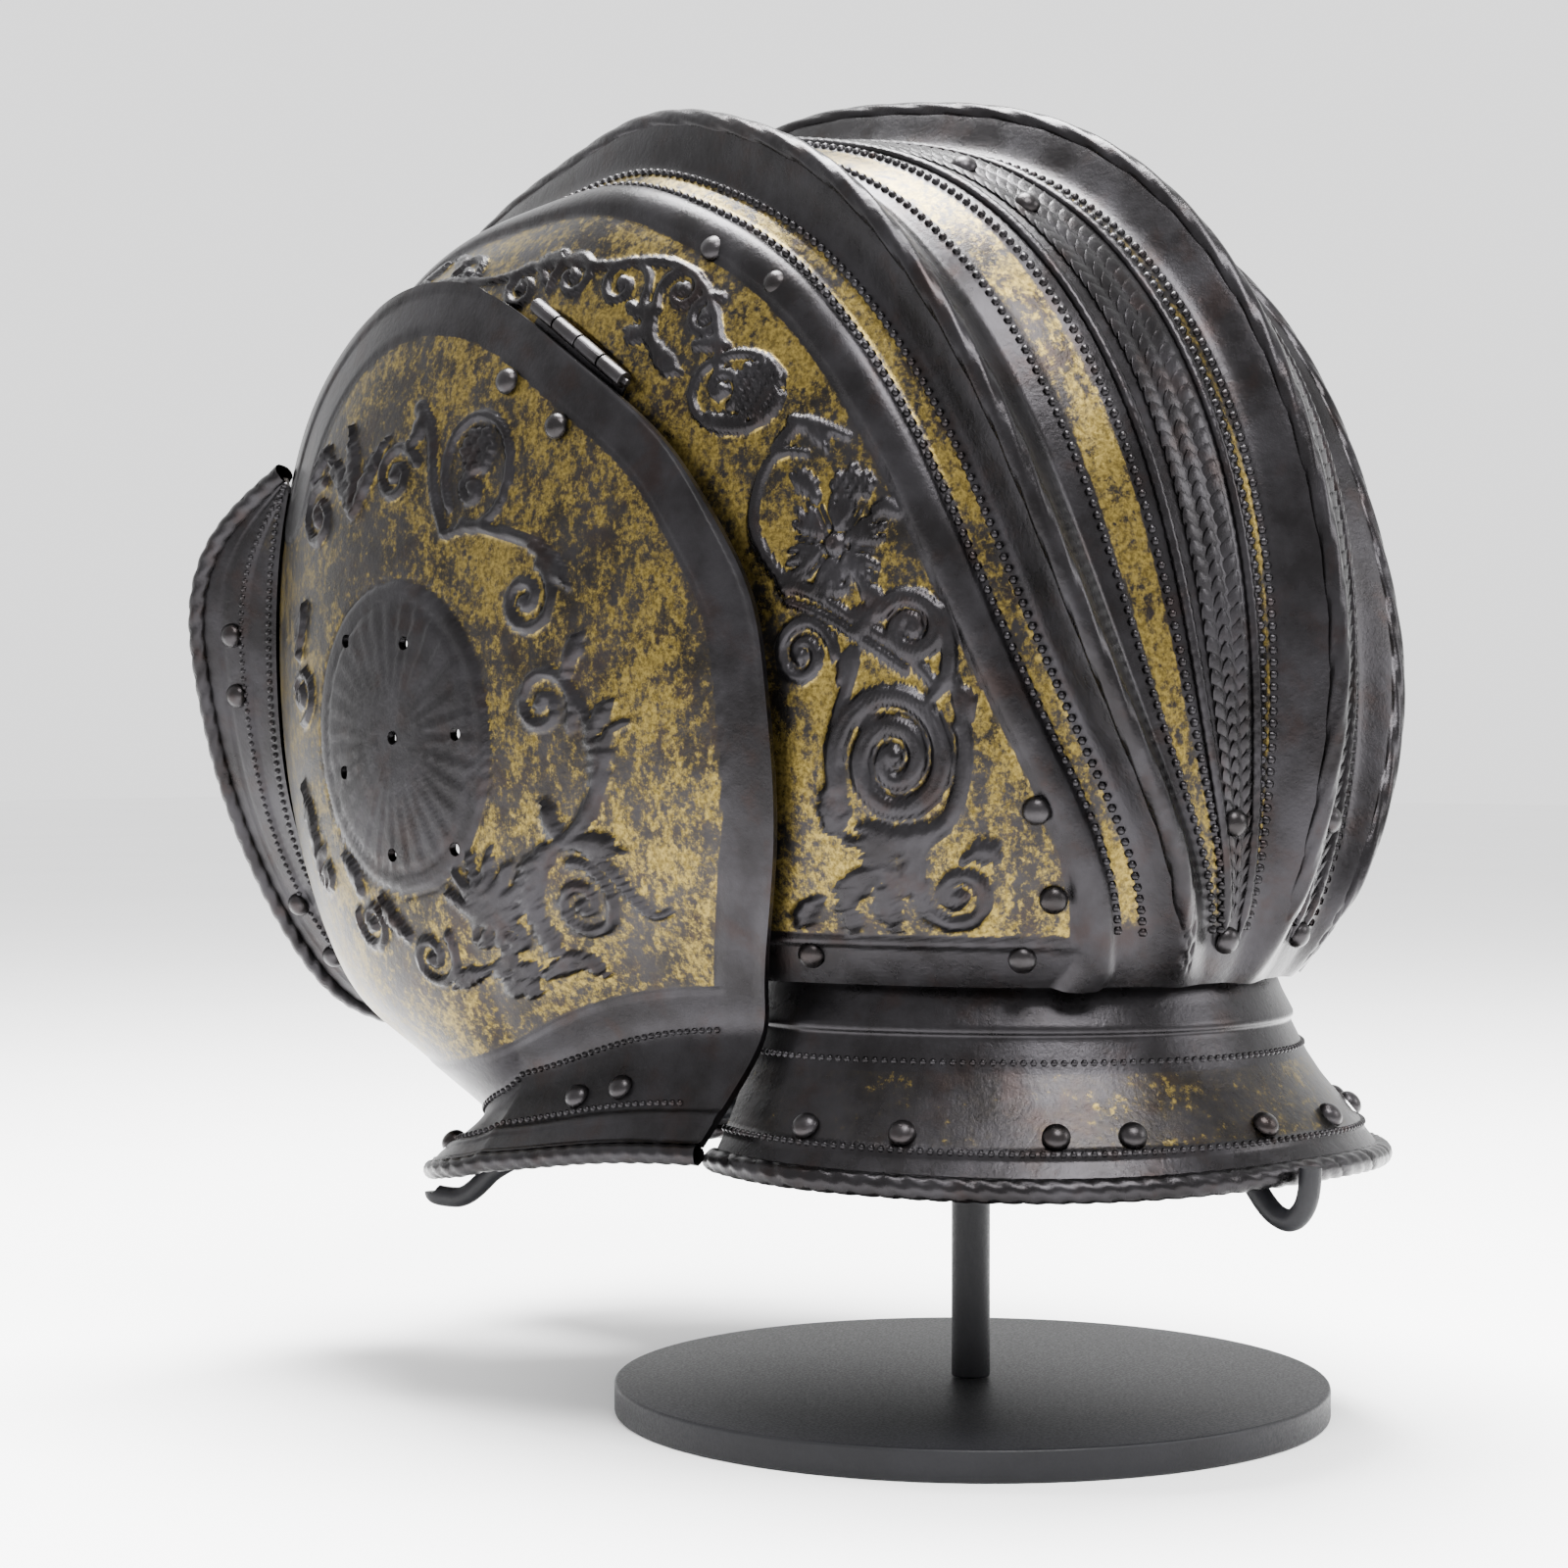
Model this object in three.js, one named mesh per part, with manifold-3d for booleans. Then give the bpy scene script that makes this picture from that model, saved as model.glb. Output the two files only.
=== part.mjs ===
// Burgonet helmet on a display stand. Millimetres, +Z up, the face opening looks along -Y,
// the wearer's left is +X. The origin is the centre of the stand disc's underside.
import * as THREE from 'three';
import { mergeVertices } from 'three/addons/utils/BufferGeometryUtils.js';
import Module from 'manifold-3d';

const wasm = await Module();
wasm.setup();

// ---------------------------------------------------------------- driving dimensions
const SKULL_WALL = 1.8;
const CHEEK_WALL = 1.6;
const GUARD_WALL = 1.6;
const FINENESS = 0.08; // allowed flattening of the large plates

// skull: star-shaped about an axis parallel to X through (SKULL_Y, SKULL_Z)
const SKULL_Y = -45;
const SKULL_Z = 205;
const SKULL_HALF_WIDTH = 100;
// median radius against the angle from the rear (0) over the top (90) to the brow (180)
const SKULL_ANGLE = [-90, -60, -34.5, -19, 0, 15, 30, 46, 60, 78, 97, 107, 115, 124, 132, 141, 150, 165, 180];
const SKULL_RADIUS = [128, 140, 158, 151, 144, 141.5, 139.5, 136, 131, 125, 124, 123.5, 125.5, 131, 137, 143, 147,
  149, 148];
// how square the cross-sections are (2 is an ellipse)
const SQUARE_ANGLE = [-90, -40, 0, 45, 90, 120, 140, 165, 180];
const SQUARENESS = [2.5, 2.3, 2.2, 2.5, 3.2, 3.6, 3.4, 3.0, 2.9];
const SEAM_Z = 115; // waist seam between skull and neck guard
const BROW_Z = 243; // lower edge of the skull over the face

// combs: height of the crest, and the side comb's place as a half-width
const COMB_ANGLE = [-36, -30, -20, -8, 10, 35, 60, 80, 100, 118, 140, 170];
const COMB_HEIGHT = [0.5, 4, 9, 12.5, 12, 12, 13, 12, 11, 9, 4.5, 2];
const SIDE_COMB_ANGLE = [-36, -25, -16, 0, 20, 45, 70, 95, 120, 145, 170];
const SIDE_COMB_X = [25, 37, 48, 60, 66.5, 69, 65, 57, 47, 38, 31];
const COMB_HALF_BASE = 10;
const COMB_SHOULDER = 2.6;

// lower and side edge of the skull below the cheek-pieces, as a radius in side view
const EDGE_ANGLE = [-90, -70, -50, -30, 0, 45, 90, 115, 135, 150, 168];
const EDGE_RADIUS = [90, 78, 62, 50, 44, 40, 42, 62, 88, 108, 132];

// neck guard: half-width, rearward reach and height of each profile row from the hidden top down
const GUARD_Y = -22;
const GUARD_ROWS = [
  [75.8, 103.6, 121],
  [74.6, 103, 115],
  [76.4, 104.8, 110.5],
  [79, 107.6, 105.2],
  [78.2, 107, 103],
  [80.5, 110.2, 97],
  [84.5, 115.5, 90],
  [90, 122.5, 82.5],
  [93.2, 126, 78.6],
  [93.6, 126.5, 77.2],
  [96.4, 129, 74],
];
const GUARD_SWEEP = 86;
const GUARD_RIM = [98, 130, 71.4];
const GUARD_ROLL = 2.8;
const GUARD_TUCK = 0.13; // how far its two ends draw in under the cheek-pieces
const GUARD_DIP = 2.4; // the rim hangs lower at the rear quarters

// cheek dome: half-width and front reach against a height level (0 rim .. 12 top)
const CHEEK_Y = -80;
const LEVEL = [0, 1, 2, 3, 4, 5, 6, 7, 8, 9, 10, 11, 12];
const DOME_A = [99, 96.5, 89, 84, 88, 96, 103, 108, 109.5, 108.5, 106, 102, 95];
const DOME_B = [54, 52, 47, 43, 54, 79, 104, 124, 131, 132, 129, 121, 104];
const Z_SIDE = [76, 80, 92, 104, 115, 130, 146, 170, 195, 220, 245, 268, 292];
const Z_FRONT = [60, 63, 66, 70, 77, 90, 108, 148, 188, 220, 245, 268, 292];
const LEAN_ANGLE = [-40, -25, -12, -2, 15, 45, 90]; // how far each level has dropped to its front height
const LEAN = [0, 0.05, 0.17, 0.45, 0.68, 0.93, 1];
const DOME_SQUARE = 2.35;
const REAR_REACH = 190;
const CHEEK_ROLL = 2.2;

// outline of the cheek-piece in side view (y, z): top edge from the face to the rear, then rear edge down
const TOP_EDGE = [
  [-163, 240], [-156, 256], [-145, 271], [-130, 283], [-110, 290], [-92, 290.5], [-75, 286.5], [-60, 279],
  [-42, 267.5], [-25, 256], [-12, 245], [3, 225],
];
const REAR_EDGE = [[3, 225], [12, 209], [16.5, 185], [17, 163], [13, 140], [5, 121], [-1, 105], [-4.5, 92], [-9, 76]];
// front edge of the dome: half-width at each height level, above the chin
const FRONT_LEVEL = [4.6, 5.2, 5.8, 6.4, 7, 8, 9, 9.8];
const FRONT_X = [2, 16, 36, 54, 69, 79.5, 83, 85];
// outer (roped) edge of the face flange
const FLANGE_EDGE = [
  [14, -197, 91], [24, -199, 94], [39, -200, 101], [53, -202, 116], [66, -205, 139], [76, -207, 164],
  [83, -207, 189], [87.5, -204, 212], [88, -197, 226], [87, -185, 237], [86, -170, 246],
];
const FLANGE_ROLL = 2.9;

// hearing holes in side view (y, z) from the rosette's centre
const ROSETTE = [-102, 174];
const HOLES = [[0, 0], [5, 24], [24, 1], [21, -28], [-3, -30], [-22, -9], [-20, 25]];
const HOLE_RADIUS = 1.75;

// hinge between skull and cheek-piece: its two ends in side view, and its lift over the skull
const HINGE_ENDS = [[-62, 281], [-29, 260]];
const HINGE_LIFT = 3.3;
const KNUCKLES = 4;
const KNUCKLE_RADIUS = 2.1;
const PIN_RADIUS = 0.9;
const PIN_GAP = 0.3;
const LEAF_THICK = 0.7;
const LEAF_DROP = 9;

// rivet heads
const RIVET_RADIUS = 3.4;
const RIVET_HEIGHT = 2.4;
const RIVET_GAP = 0.5;
// skull: side-view angle and fan angle; cheek: side view (y, z); guard: angle from the rear
const SKULL_RIVETS = [[71, 48.5], [57, 49.7], [58.5, 18], [48.5, 18.5], [-22.7, 38.5], [-30.8, 34.6], [-38, 34.5], [-55, 48.3],
  [-20, 12], [-30.5, 9]];
const GUARD_RIVETS = [71.6, 59.5, 41, 31, 9];
const CHEEK_RIVETS = [[-65.6, 262.7], [-47, 250.4], [-41, 87.2], [-55.3, 84], [-106, 68.5]];
const FLANGE_RIVETS = [0.71, 0.62, 0.32, 0.235];

// stand
const DISC_RADIUS = 92.5;
const DISC_THICKNESS = 8;
const DISC_CHAMFER = 0.8;
const POST_RADIUS = 5;
const POST_TOP = 92;
const ROD_RADIUS = 2.7;
const HOOK_RADIUS = 6.2;
const REAR_HOOK = { drop: 11, tip: 14 }; // bottom of a hook below the rim it holds, and its tip above that
const FRONT_HOOK = { drop: 9.2, tip: 1.2 }; // low tips, clear of the swinging cheek-pieces
const REAR_HOOK_ANGLE = 9; // from the rear median
const FRONT_HOOK_TAU = 51;

// ---------------------------------------------------------------- small maths
const rad = (d) => (d * Math.PI) / 180;
const lerp = (a, b, t) => a + (b - a) * t;
const vec = (p) => new THREE.Vector3(p[0], p[1], p[2]);

/** Natural cubic spline through (xs, ys), held at the end values outside. */
function spline(xs, ys) {
  const n = xs.length;
  const m = new Array(n).fill(0);
  const c = new Array(n).fill(0);
  const d = new Array(n).fill(0);
  for (let i = 1; i < n - 1; i++) {
    const h0 = xs[i] - xs[i - 1];
    const h1 = xs[i + 1] - xs[i];
    const r = 6 * ((ys[i + 1] - ys[i]) / h1 - (ys[i] - ys[i - 1]) / h0);
    const w = 2 * (h0 + h1) - h0 * c[i - 1];
    c[i] = h1 / w;
    d[i] = (r - h0 * d[i - 1]) / w;
  }
  for (let i = n - 2; i > 0; i--) m[i] = d[i] - c[i] * m[i + 1];
  return (x) => {
    const t = Math.min(Math.max(x, xs[0]), xs[n - 1]);
    let i = 0;
    while (i < n - 2 && t > xs[i + 1]) i += 1;
    const h = xs[i + 1] - xs[i];
    const a = (xs[i + 1] - t) / h;
    const b = (t - xs[i]) / h;
    return a * ys[i] + b * ys[i + 1] + (((a ** 3 - a) * m[i] + (b ** 3 - b) * m[i + 1]) * h * h) / 6;
  };
}

/** Curve through points, by arc length 0..1. */
function pathThrough(points) {
  const size = points[0].length;
  const at = [0];
  for (let i = 1; i < points.length; i++) {
    let s = 0;
    for (let j = 0; j < size; j++) s += (points[i][j] - points[i - 1][j]) ** 2;
    at.push(at[i - 1] + Math.sqrt(s));
  }
  const total = at[at.length - 1];
  const part = [];
  for (let j = 0; j < size; j++) {
    part.push(spline(at.map((a) => a / total), points.map((p) => p[j])));
  }
  return (t) => part.map((f) => f(t));
}

/** Root of f between lo and hi. */
function bisect(f, lo, hi) {
  let a = lo;
  let b = hi;
  const fa = f(a);
  for (let i = 0; i < 40; i++) {
    const m = (a + b) / 2;
    if (f(m) * fa > 0) a = m;
    else b = m;
  }
  return (a + b) / 2;
}

/** Unit superellipse at a polar angle: [cosine part, sine part]. */
function superellipse(angle, n) {
  const s = Math.sin(rad(angle));
  const c = Math.cos(rad(angle));
  const q = (Math.abs(s) ** n + Math.abs(c) ** n) ** (-1 / n);
  return [c * q, s * q];
}

/** Unit normal of a surface f(u, v); side is 1 or -1, whichever faces out. */
function surfaceNormal(f, u, v, side) {
  const e = 0.3;
  const a = f(u + e, v).sub(f(u - e, v));
  const b = f(u, v + e).sub(f(u, v - e));
  return a.cross(b).normalize().multiplyScalar(side);
}

// ---------------------------------------------------------------- surfaces
const radiusAt = spline(SKULL_ANGLE, SKULL_RADIUS);
const squareAt = spline(SQUARE_ANGLE, SQUARENESS);
const combHeight = spline(COMB_ANGLE, COMB_HEIGHT);
const sideCombX = spline(SIDE_COMB_ANGLE, SIDE_COMB_X);
const edgeRadius = spline(EDGE_ANGLE, EDGE_RADIUS);

/** Plain skull at side-view angle th and fan angle psi (0 median, 90 side pole), in degrees. */
function skullPoint(th, psi) {
  const [c, s] = superellipse(psi, squareAt(th));
  const r = radiusAt(th) * c;
  return new THREE.Vector3(
    SKULL_HALF_WIDTH * s,
    SKULL_Y + r * Math.cos(rad(th)),
    SKULL_Z + r * Math.sin(rad(th)),
  );
}
const skullNormal = (th, psi) => surfaceNormal(skullPoint, th, psi, 1);

/** Fan angle where the half-width is x. */
function fanAtX(th, x) {
  const n = squareAt(th);
  const s = Math.min(x / SKULL_HALF_WIDTH, 0.999);
  return (Math.atan2(s, (1 - s ** n) ** (1 / n)) * 180) / Math.PI;
}

/** Fan angle where the side-view radius is r. */
function fanAtRadius(th, r) {
  const n = squareAt(th);
  const c = Math.min(r / radiusAt(th), 0.999);
  return (Math.atan2((1 - c ** n) ** (1 / n), c) * 180) / Math.PI;
}

const domeA = spline(LEVEL, DOME_A);
const domeB = spline(LEVEL, DOME_B);
const zSide = spline(LEVEL, Z_SIDE);
const zFront = spline(LEVEL, Z_FRONT);
const lean = spline(LEAN_ANGLE, LEAN);

/** Left cheek at section angle tau (0 side, 90 front, negative rearward) and height level k. */
function cheekPoint(tau, k) {
  const [c, s] = superellipse(tau, DOME_SQUARE);
  const reach = tau < 0 ? REAR_REACH : domeB(k);
  return new THREE.Vector3(domeA(k) * c, CHEEK_Y - reach * s, lerp(zSide(k), zFront(k), lean(tau)));
}
const cheekNormal = (tau, k) => surfaceNormal(cheekPoint, tau, k, -1);

/** Section angle and level of the cheek point seen at (y, z) from the side. */
function cheekAt(y, z) {
  let tau = 0;
  let k = 6;
  for (let i = 0; i < 12; i++) {
    const level = k;
    tau = bisect((a) => cheekPoint(a, level).y - y, -60, 80);
    const angle = tau;
    k = bisect((v) => cheekPoint(angle, v).z - z, 0, 12.5);
  }
  return [tau, k];
}

// ---------------------------------------------------------------- mesh building
/** Closed mesh from rows of points: a tube-like skin when wrap is true, with flat or fanned end caps. */
function skinGeometry(rows, wrap) {
  const nr = rows.length;
  const nc = rows[0].length;
  const pos = [];
  rows.forEach((row) => row.forEach((p) => pos.push(p.x, p.y, p.z)));
  const idx = [];
  const at = (i, j) => i * nc + (j % nc);
  const last = wrap ? nc : nc - 1;
  for (let i = 0; i < nr - 1; i++) {
    for (let j = 0; j < last; j++) {
      // split each quad along its shorter diagonal
      const q = [at(i, j), at(i + 1, j), at(i + 1, j + 1), at(i, j + 1)];
      const span = (a, b) => (pos[a * 3] - pos[b * 3]) ** 2 + (pos[a * 3 + 1] - pos[b * 3 + 1]) ** 2
        + (pos[a * 3 + 2] - pos[b * 3 + 2]) ** 2;
      if (span(q[0], q[2]) <= span(q[1], q[3])) idx.push(q[0], q[1], q[2], q[0], q[2], q[3]);
      else idx.push(q[0], q[1], q[3], q[1], q[2], q[3]);
    }
  }
  if (wrap) {
    // caps over closed outlines that fold back on themselves: pair opposite points
    const pairCap = (i, flip) => {
      for (let j = 0; j < nc / 2 - 1; j++) {
        const q = [at(i, j), at(i, j + 1), at(i, nc - 2 - j), at(i, nc - 1 - j)];
        if (flip) q.reverse();
        idx.push(q[0], q[1], q[2], q[0], q[2], q[3]);
      }
    };
    pairCap(0, false);
    pairCap(nr - 1, true);
  }
  const g = new THREE.BufferGeometry();
  g.setAttribute('position', new THREE.Float32BufferAttribute(pos, 3));
  g.setIndex(idx);
  return g;
}

/** Closed plate from an outer and an inner grid of the same size. */
function plateGeometry(outer, inner) {
  const rows = outer.map((row, i) => row.concat(inner[i].slice().reverse()));
  return skinGeometry(rows, true);
}

function toManifold(geometry) {
  const g = geometry.clone();
  g.deleteAttribute('normal');
  g.deleteAttribute('uv');
  const m = mergeVertices(g, 1e-4);
  const mesh = new wasm.Mesh({
    numProp: 3,
    vertProperties: new Float32Array(m.attributes.position.array),
    triVerts: new Uint32Array(m.index.array),
  });
  const solid = new wasm.Manifold(mesh);
  return solid.volume() < 0 ? new wasm.Manifold(flipMesh(mesh)) : solid;
}

function flipMesh(mesh) {
  const tri = new Uint32Array(mesh.triVerts);
  for (let i = 0; i < tri.length; i += 3) {
    const a = tri[i];
    tri[i] = tri[i + 1];
    tri[i + 1] = a;
  }
  return new wasm.Mesh({ numProp: 3, vertProperties: mesh.vertProperties, triVerts: tri });
}

function fromManifold(solid) {
  const mesh = solid.getMesh();
  const g = new THREE.BufferGeometry();
  const n = mesh.numProp;
  const count = mesh.vertProperties.length / n;
  const pos = new Float32Array(count * 3);
  for (let i = 0; i < count; i++) {
    for (let j = 0; j < 3; j++) pos[i * 3 + j] = mesh.vertProperties[i * n + j];
  }
  g.setAttribute('position', new THREE.BufferAttribute(pos, 3));
  g.setIndex(new THREE.BufferAttribute(new Uint32Array(mesh.triVerts), 1));
  return g;
}

const solidOf = (geometry) => fromManifold(toManifold(geometry));

/** The same geometry on the wearer's other side. */
function mirrored(geometry) {
  const g = geometry.clone();
  const p = g.attributes.position;
  for (let i = 0; i < p.count; i++) p.setX(i, -p.getX(i));
  const idx = g.index.array;
  for (let i = 0; i < idx.length; i += 3) {
    const a = idx[i];
    idx[i] = idx[i + 1];
    idx[i + 1] = a;
  }
  return g;
}

/** Round bar between two points. */
function barBetween(a, b, radius, segments) {
  const axis = vec(b).sub(vec(a));
  const g = new THREE.CylinderGeometry(radius, radius, axis.length(), segments);
  g.applyQuaternion(new THREE.Quaternion().setFromUnitVectors(new THREE.Vector3(0, 1, 0), axis.clone().normalize()));
  g.translate((a[0] + b[0]) / 2, (a[1] + b[1]) / 2, (a[2] + b[2]) / 2);
  return g;
}

/** Round rod bent through points. */
function bentRod(points, radius, steps, segments) {
  const shape = new THREE.Shape();
  shape.absarc(0, 0, radius, 0, Math.PI * 2, false);
  const path = new THREE.CatmullRomCurve3(points.map(vec), false, 'centripetal');
  return new THREE.ExtrudeGeometry(shape, { steps, extrudePath: path, curveSegments: segments, bevelEnabled: false });
}

// ---------------------------------------------------------------- skull
/** Columns of the half skull: [anchor, value], measured from the median to the edge. */
function skullColumns(th) {
  const fan = fanAtX(th, sideCombX(th));
  const edge = fanAtRadius(th, edgeRadius(th));
  const at = skullPoint(th, fan);
  const grade = skullPoint(th, fan + 1).distanceTo(at); // mm a degree beside the comb
  const grade0 = skullPoint(th, 1).distanceTo(skullPoint(th, 0.01));
  const base = Math.min(COMB_HALF_BASE, (fan * grade) / 2.4);
  const cols = [];
  const put = (psi, height) => cols.push([psi, height]);
  put(0, 1);
  put(COMB_SHOULDER / grade0, 0.86);
  put((base * 0.55) / grade0, 0.3);
  put(base / grade0, 0);
  const a = base / grade0;
  const b = fan - base / grade;
  put(lerp(a, b, 1 / 3), 0);
  put(lerp(a, b, 2 / 3), 0);
  put(b, 0);
  put(fan - (base * 0.55) / grade, 0.3);
  put(fan - COMB_SHOULDER / grade, 0.86);
  put(fan, 1);
  put(fan + COMB_SHOULDER / grade, 0.86);
  put(fan + (base * 0.55) / grade, 0.3);
  put(fan + base / grade, 0);
  const c = fan + base / grade;
  [0.2, 0.45, 0.75, 1].forEach((t) => put(lerp(c, Math.max(edge, c + 4), t), 0));
  return cols;
}

function buildSkull() {
  const steps = 22;
  const count = skullColumns(45).length;
  const half = [];
  for (let j = 0; j < count; j++) {
    // each column starts over the face at the brow and ends at the waist seam
    const column = (th) => {
      const [psi] = skullColumns(th)[j];
      return skullPoint(th, psi);
    };
    const front = bisect((th) => column(th).z - BROW_Z, 176, 120);
    const rear = bisect((th) => column(th).z - SEAM_Z, -89, -10);
    const line = [];
    for (let i = 0; i <= steps; i++) {
      const th = lerp(front, rear, i / steps);
      const [psi, rise] = skullColumns(th)[j];
      const n = skullNormal(th, psi);
      const outer = skullPoint(th, psi).addScaledVector(n, rise * combHeight(th));
      const innerRise = rise * Math.max(combHeight(th) - 1, 0) * 0.85;
      const inner = skullPoint(th, psi).addScaledVector(n, innerRise - SKULL_WALL);
      line.push([outer, inner]);
    }
    half.push(line);
  }
  const flip = (line) => line.map(([o, i]) => [o.clone().setX(-o.x), i.clone().setX(-i.x)]);
  const lines = half.slice(1).reverse().map(flip).concat(half);
  return solidOf(plateGeometry(lines.map((l) => l.map((q) => q[0])), lines.map((l) => l.map((q) => q[1]))));
}

// ---------------------------------------------------------------- neck guard
/** Point on the guard's row at an angle from the rear median (0) to the side (90). */
function guardPoint(row, angle) {
  const [c, s] = superellipse(angle, 2.1);
  const low = Math.min(Math.max((95 - row[2]) / 28, 0), 1);
  const tuck = 1 - GUARD_TUCK * Math.min(Math.max((Math.abs(angle) - 66) / 20, 0), 1) ** 2;
  const dip = low * GUARD_DIP * Math.sin(rad(Math.abs(angle) * 2)) ** 2;
  return new THREE.Vector3(row[0] * s * tuck, GUARD_Y + row[1] * c, row[2] - dip);
}

function buildGuard() {
  const steps = 28;
  const lines = [];
  for (let i = 0; i <= steps; i++) {
    const angle = lerp(-GUARD_SWEEP, GUARD_SWEEP, i / steps);
    const outer = GUARD_ROWS.map((row) => guardPoint(row, angle));
    const rim = guardPoint(GUARD_RIM, angle);
    const away = new THREE.Vector3(rim.x, rim.y - GUARD_Y, 0).normalize();
    const roll = [60, 0, -60, -120].map((a) => rim.clone()
      .addScaledVector(away, GUARD_ROLL * Math.cos(rad(a)))
      .add(new THREE.Vector3(0, 0, GUARD_ROLL * Math.sin(rad(a)))));
    const inner = outer.map((p) => p.clone().addScaledVector(away, -GUARD_WALL * 1.25)).reverse();
    lines.push(outer.concat(roll, inner));
  }
  // the outline has an odd count when the roll is odd: keep it even for the paired caps
  return solidOf(skinGeometry(lines, true));
}

// ---------------------------------------------------------------- cheek-piece (left)
const topEdge = pathThrough(TOP_EDGE);
const rearEdge = pathThrough(REAR_EDGE);
const frontX = spline(FRONT_LEVEL, FRONT_X);

/** Section angle of the dome's front edge at a level. */
function frontAngle(k) {
  if (k <= FRONT_LEVEL[0]) return 89;
  const x = frontX(k);
  return bisect((a) => cheekPoint(a, k).x - x, 20, 89.5);
}

/** Dome point of the chart: s 0 rear .. 1 front, t 0 rim .. 1 top edge. */
function cheekChart(s, t) {
  const [ry, rz] = rearEdge(1 - t);
  const [rt, rk] = cheekAt(ry, rz);
  const fk = lerp(0, FRONT_LEVEL[FRONT_LEVEL.length - 1], t);
  const ft = frontAngle(fk);
  const straightTau = lerp(rt, ft, s);
  const straightK = lerp(rk, fk, s);
  // the upper rows arch up to the top edge
  const [ty, tz] = topEdge(1 - s);
  const [tt, tk] = cheekAt(ty, tz);
  const [ct, ck] = [lerp(cornerRear[0], cornerFront[0], s), lerp(cornerRear[1], cornerFront[1], s)];
  const w = t * t;
  return [straightTau + w * (tt - ct), straightK + w * (tk - ck)];
}
const cornerRear = cheekAt(...REAR_EDGE[0]);
const cornerFront = cheekAt(...TOP_EDGE[0]);

function buildCheekDome() {
  const ns = 14;
  const nt = 17;
  const lines = [];
  for (let i = 0; i <= ns; i++) {
    const s = i / ns;
    const outer = [];
    const inner = [];
    for (let j = nt; j >= 0; j--) {
      const [tau, k] = cheekChart(s, j / nt);
      const p = cheekPoint(tau, k);
      outer.push(p);
      inner.push(p.clone().addScaledVector(cheekNormal(tau, k), -CHEEK_WALL));
    }
    // rolled rim at the bottom
    const end = outer[outer.length - 1];
    const before = outer[outer.length - 2];
    const down = end.clone().sub(before).normalize();
    const out = end.clone().sub(inner[inner.length - 1]).normalize();
    const centre = end.clone().addScaledVector(down, CHEEK_ROLL * 0.6).addScaledVector(out, -CHEEK_WALL / 2);
    const roll = [60, 0, -60, -120].map((a) => centre.clone()
      .addScaledVector(out, CHEEK_ROLL * Math.sin(rad(a + 30)))
      .addScaledVector(down, CHEEK_ROLL * Math.cos(rad(a + 30))));
    lines.push(outer.concat(roll, inner.reverse()));
  }
  return skinGeometry(lines, true);
}

const flangeEdge = pathThrough(FLANGE_EDGE);

/** Root of the face flange on the dome for a fraction from the chin (0) to the temple (1). */
function flangeRoot(t) {
  const k = lerp(FRONT_LEVEL[0] + 0.25, FRONT_LEVEL[FRONT_LEVEL.length - 1], t);
  return cheekPoint(frontAngle(k) - 1.2, k);
}

function buildFlange() {
  const steps = 16;
  const lines = [];
  for (let i = 0; i <= steps; i++) {
    const t = i / steps;
    const root = flangeRoot(t);
    const edge = vec(flangeEdge(t));
    const across = edge.clone().sub(root).normalize();
    const along = vec(flangeEdge(Math.min(t + 0.02, 1))).sub(vec(flangeEdge(Math.max(t - 0.02, 0)))).normalize();
    const out = across.clone().cross(along).normalize();
    if (out.x < 0) out.negate();
    const half = CHEEK_WALL / 2;
    const stem = [0, 0.5, 0.94].map((f) => root.clone().lerp(edge, f));
    const outer = stem.map((p) => p.clone().addScaledVector(out, half));
    const inner = stem.map((p) => p.clone().addScaledVector(out, -half)).reverse();
    const roll = [60, 0, -60, -120].map((a) => edge.clone()
      .addScaledVector(out, FLANGE_ROLL * Math.sin(rad(a + 30)))
      .addScaledVector(across, FLANGE_ROLL * Math.cos(rad(a + 30))));
    lines.push(outer.concat(roll, inner));
  }
  return skinGeometry(lines, true);
}

// ---------------------------------------------------------------- hinge (left)
/** Skull point seen at (y, z) from the side, lifted along its normal. */
function skullAt(y, z, lift) {
  const th = (Math.atan2(z - SKULL_Z, y - SKULL_Y) * 180) / Math.PI;
  const psi = fanAtRadius(th, Math.hypot(y - SKULL_Y, z - SKULL_Z));
  return skullPoint(th, psi).addScaledVector(skullNormal(th, psi), lift);
}

const hingeA = skullAt(...HINGE_ENDS[0], HINGE_LIFT);
const hingeB = skullAt(...HINGE_ENDS[1], HINGE_LIFT);
const onHinge = (t) => hingeA.clone().lerp(hingeB, t);

/** Part of the hinge barrel from knuckle i, shortened by end (as a fraction) and with a radius. */
function barrel(i, radius, end) {
  const p = onHinge(i / KNUCKLES + end);
  const q = onHinge((i + 1) / KNUCKLES - end);
  return toManifold(barBetween(p.toArray(), q.toArray(), radius, 14));
}

/** Tapering web between a knuckle and two points of a plate. */
function web(i, end, p, q, thick) {
  const a = onHinge(i / KNUCKLES + end);
  const b = onHinge((i + 1) / KNUCKLES - end);
  const n = q.clone().sub(p).cross(a.clone().sub(p)).normalize().multiplyScalar(thick / 2);
  const grid = (sign) => [[a, p], [b, q]].map((row) => row.map((v) => v.clone().addScaledVector(n, sign)));
  return toManifold(plateGeometry(grid(1), grid(-1)));
}

const pinHole = () => toManifold(barBetween(
  onHinge(-0.05).toArray(),
  onHinge(1.05).toArray(),
  PIN_RADIUS + PIN_GAP,
  12,
));

/** Side-view place of the hinge line at fraction t, moved down across the cheek-piece by drop. */
function belowHinge(t, drop) {
  const p = onHinge(t);
  const d = hingeB.clone().sub(hingeA);
  const len = Math.hypot(d.y, d.z);
  return [p.y + (d.z / len) * drop, p.z - (d.y / len) * drop];
}

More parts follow.
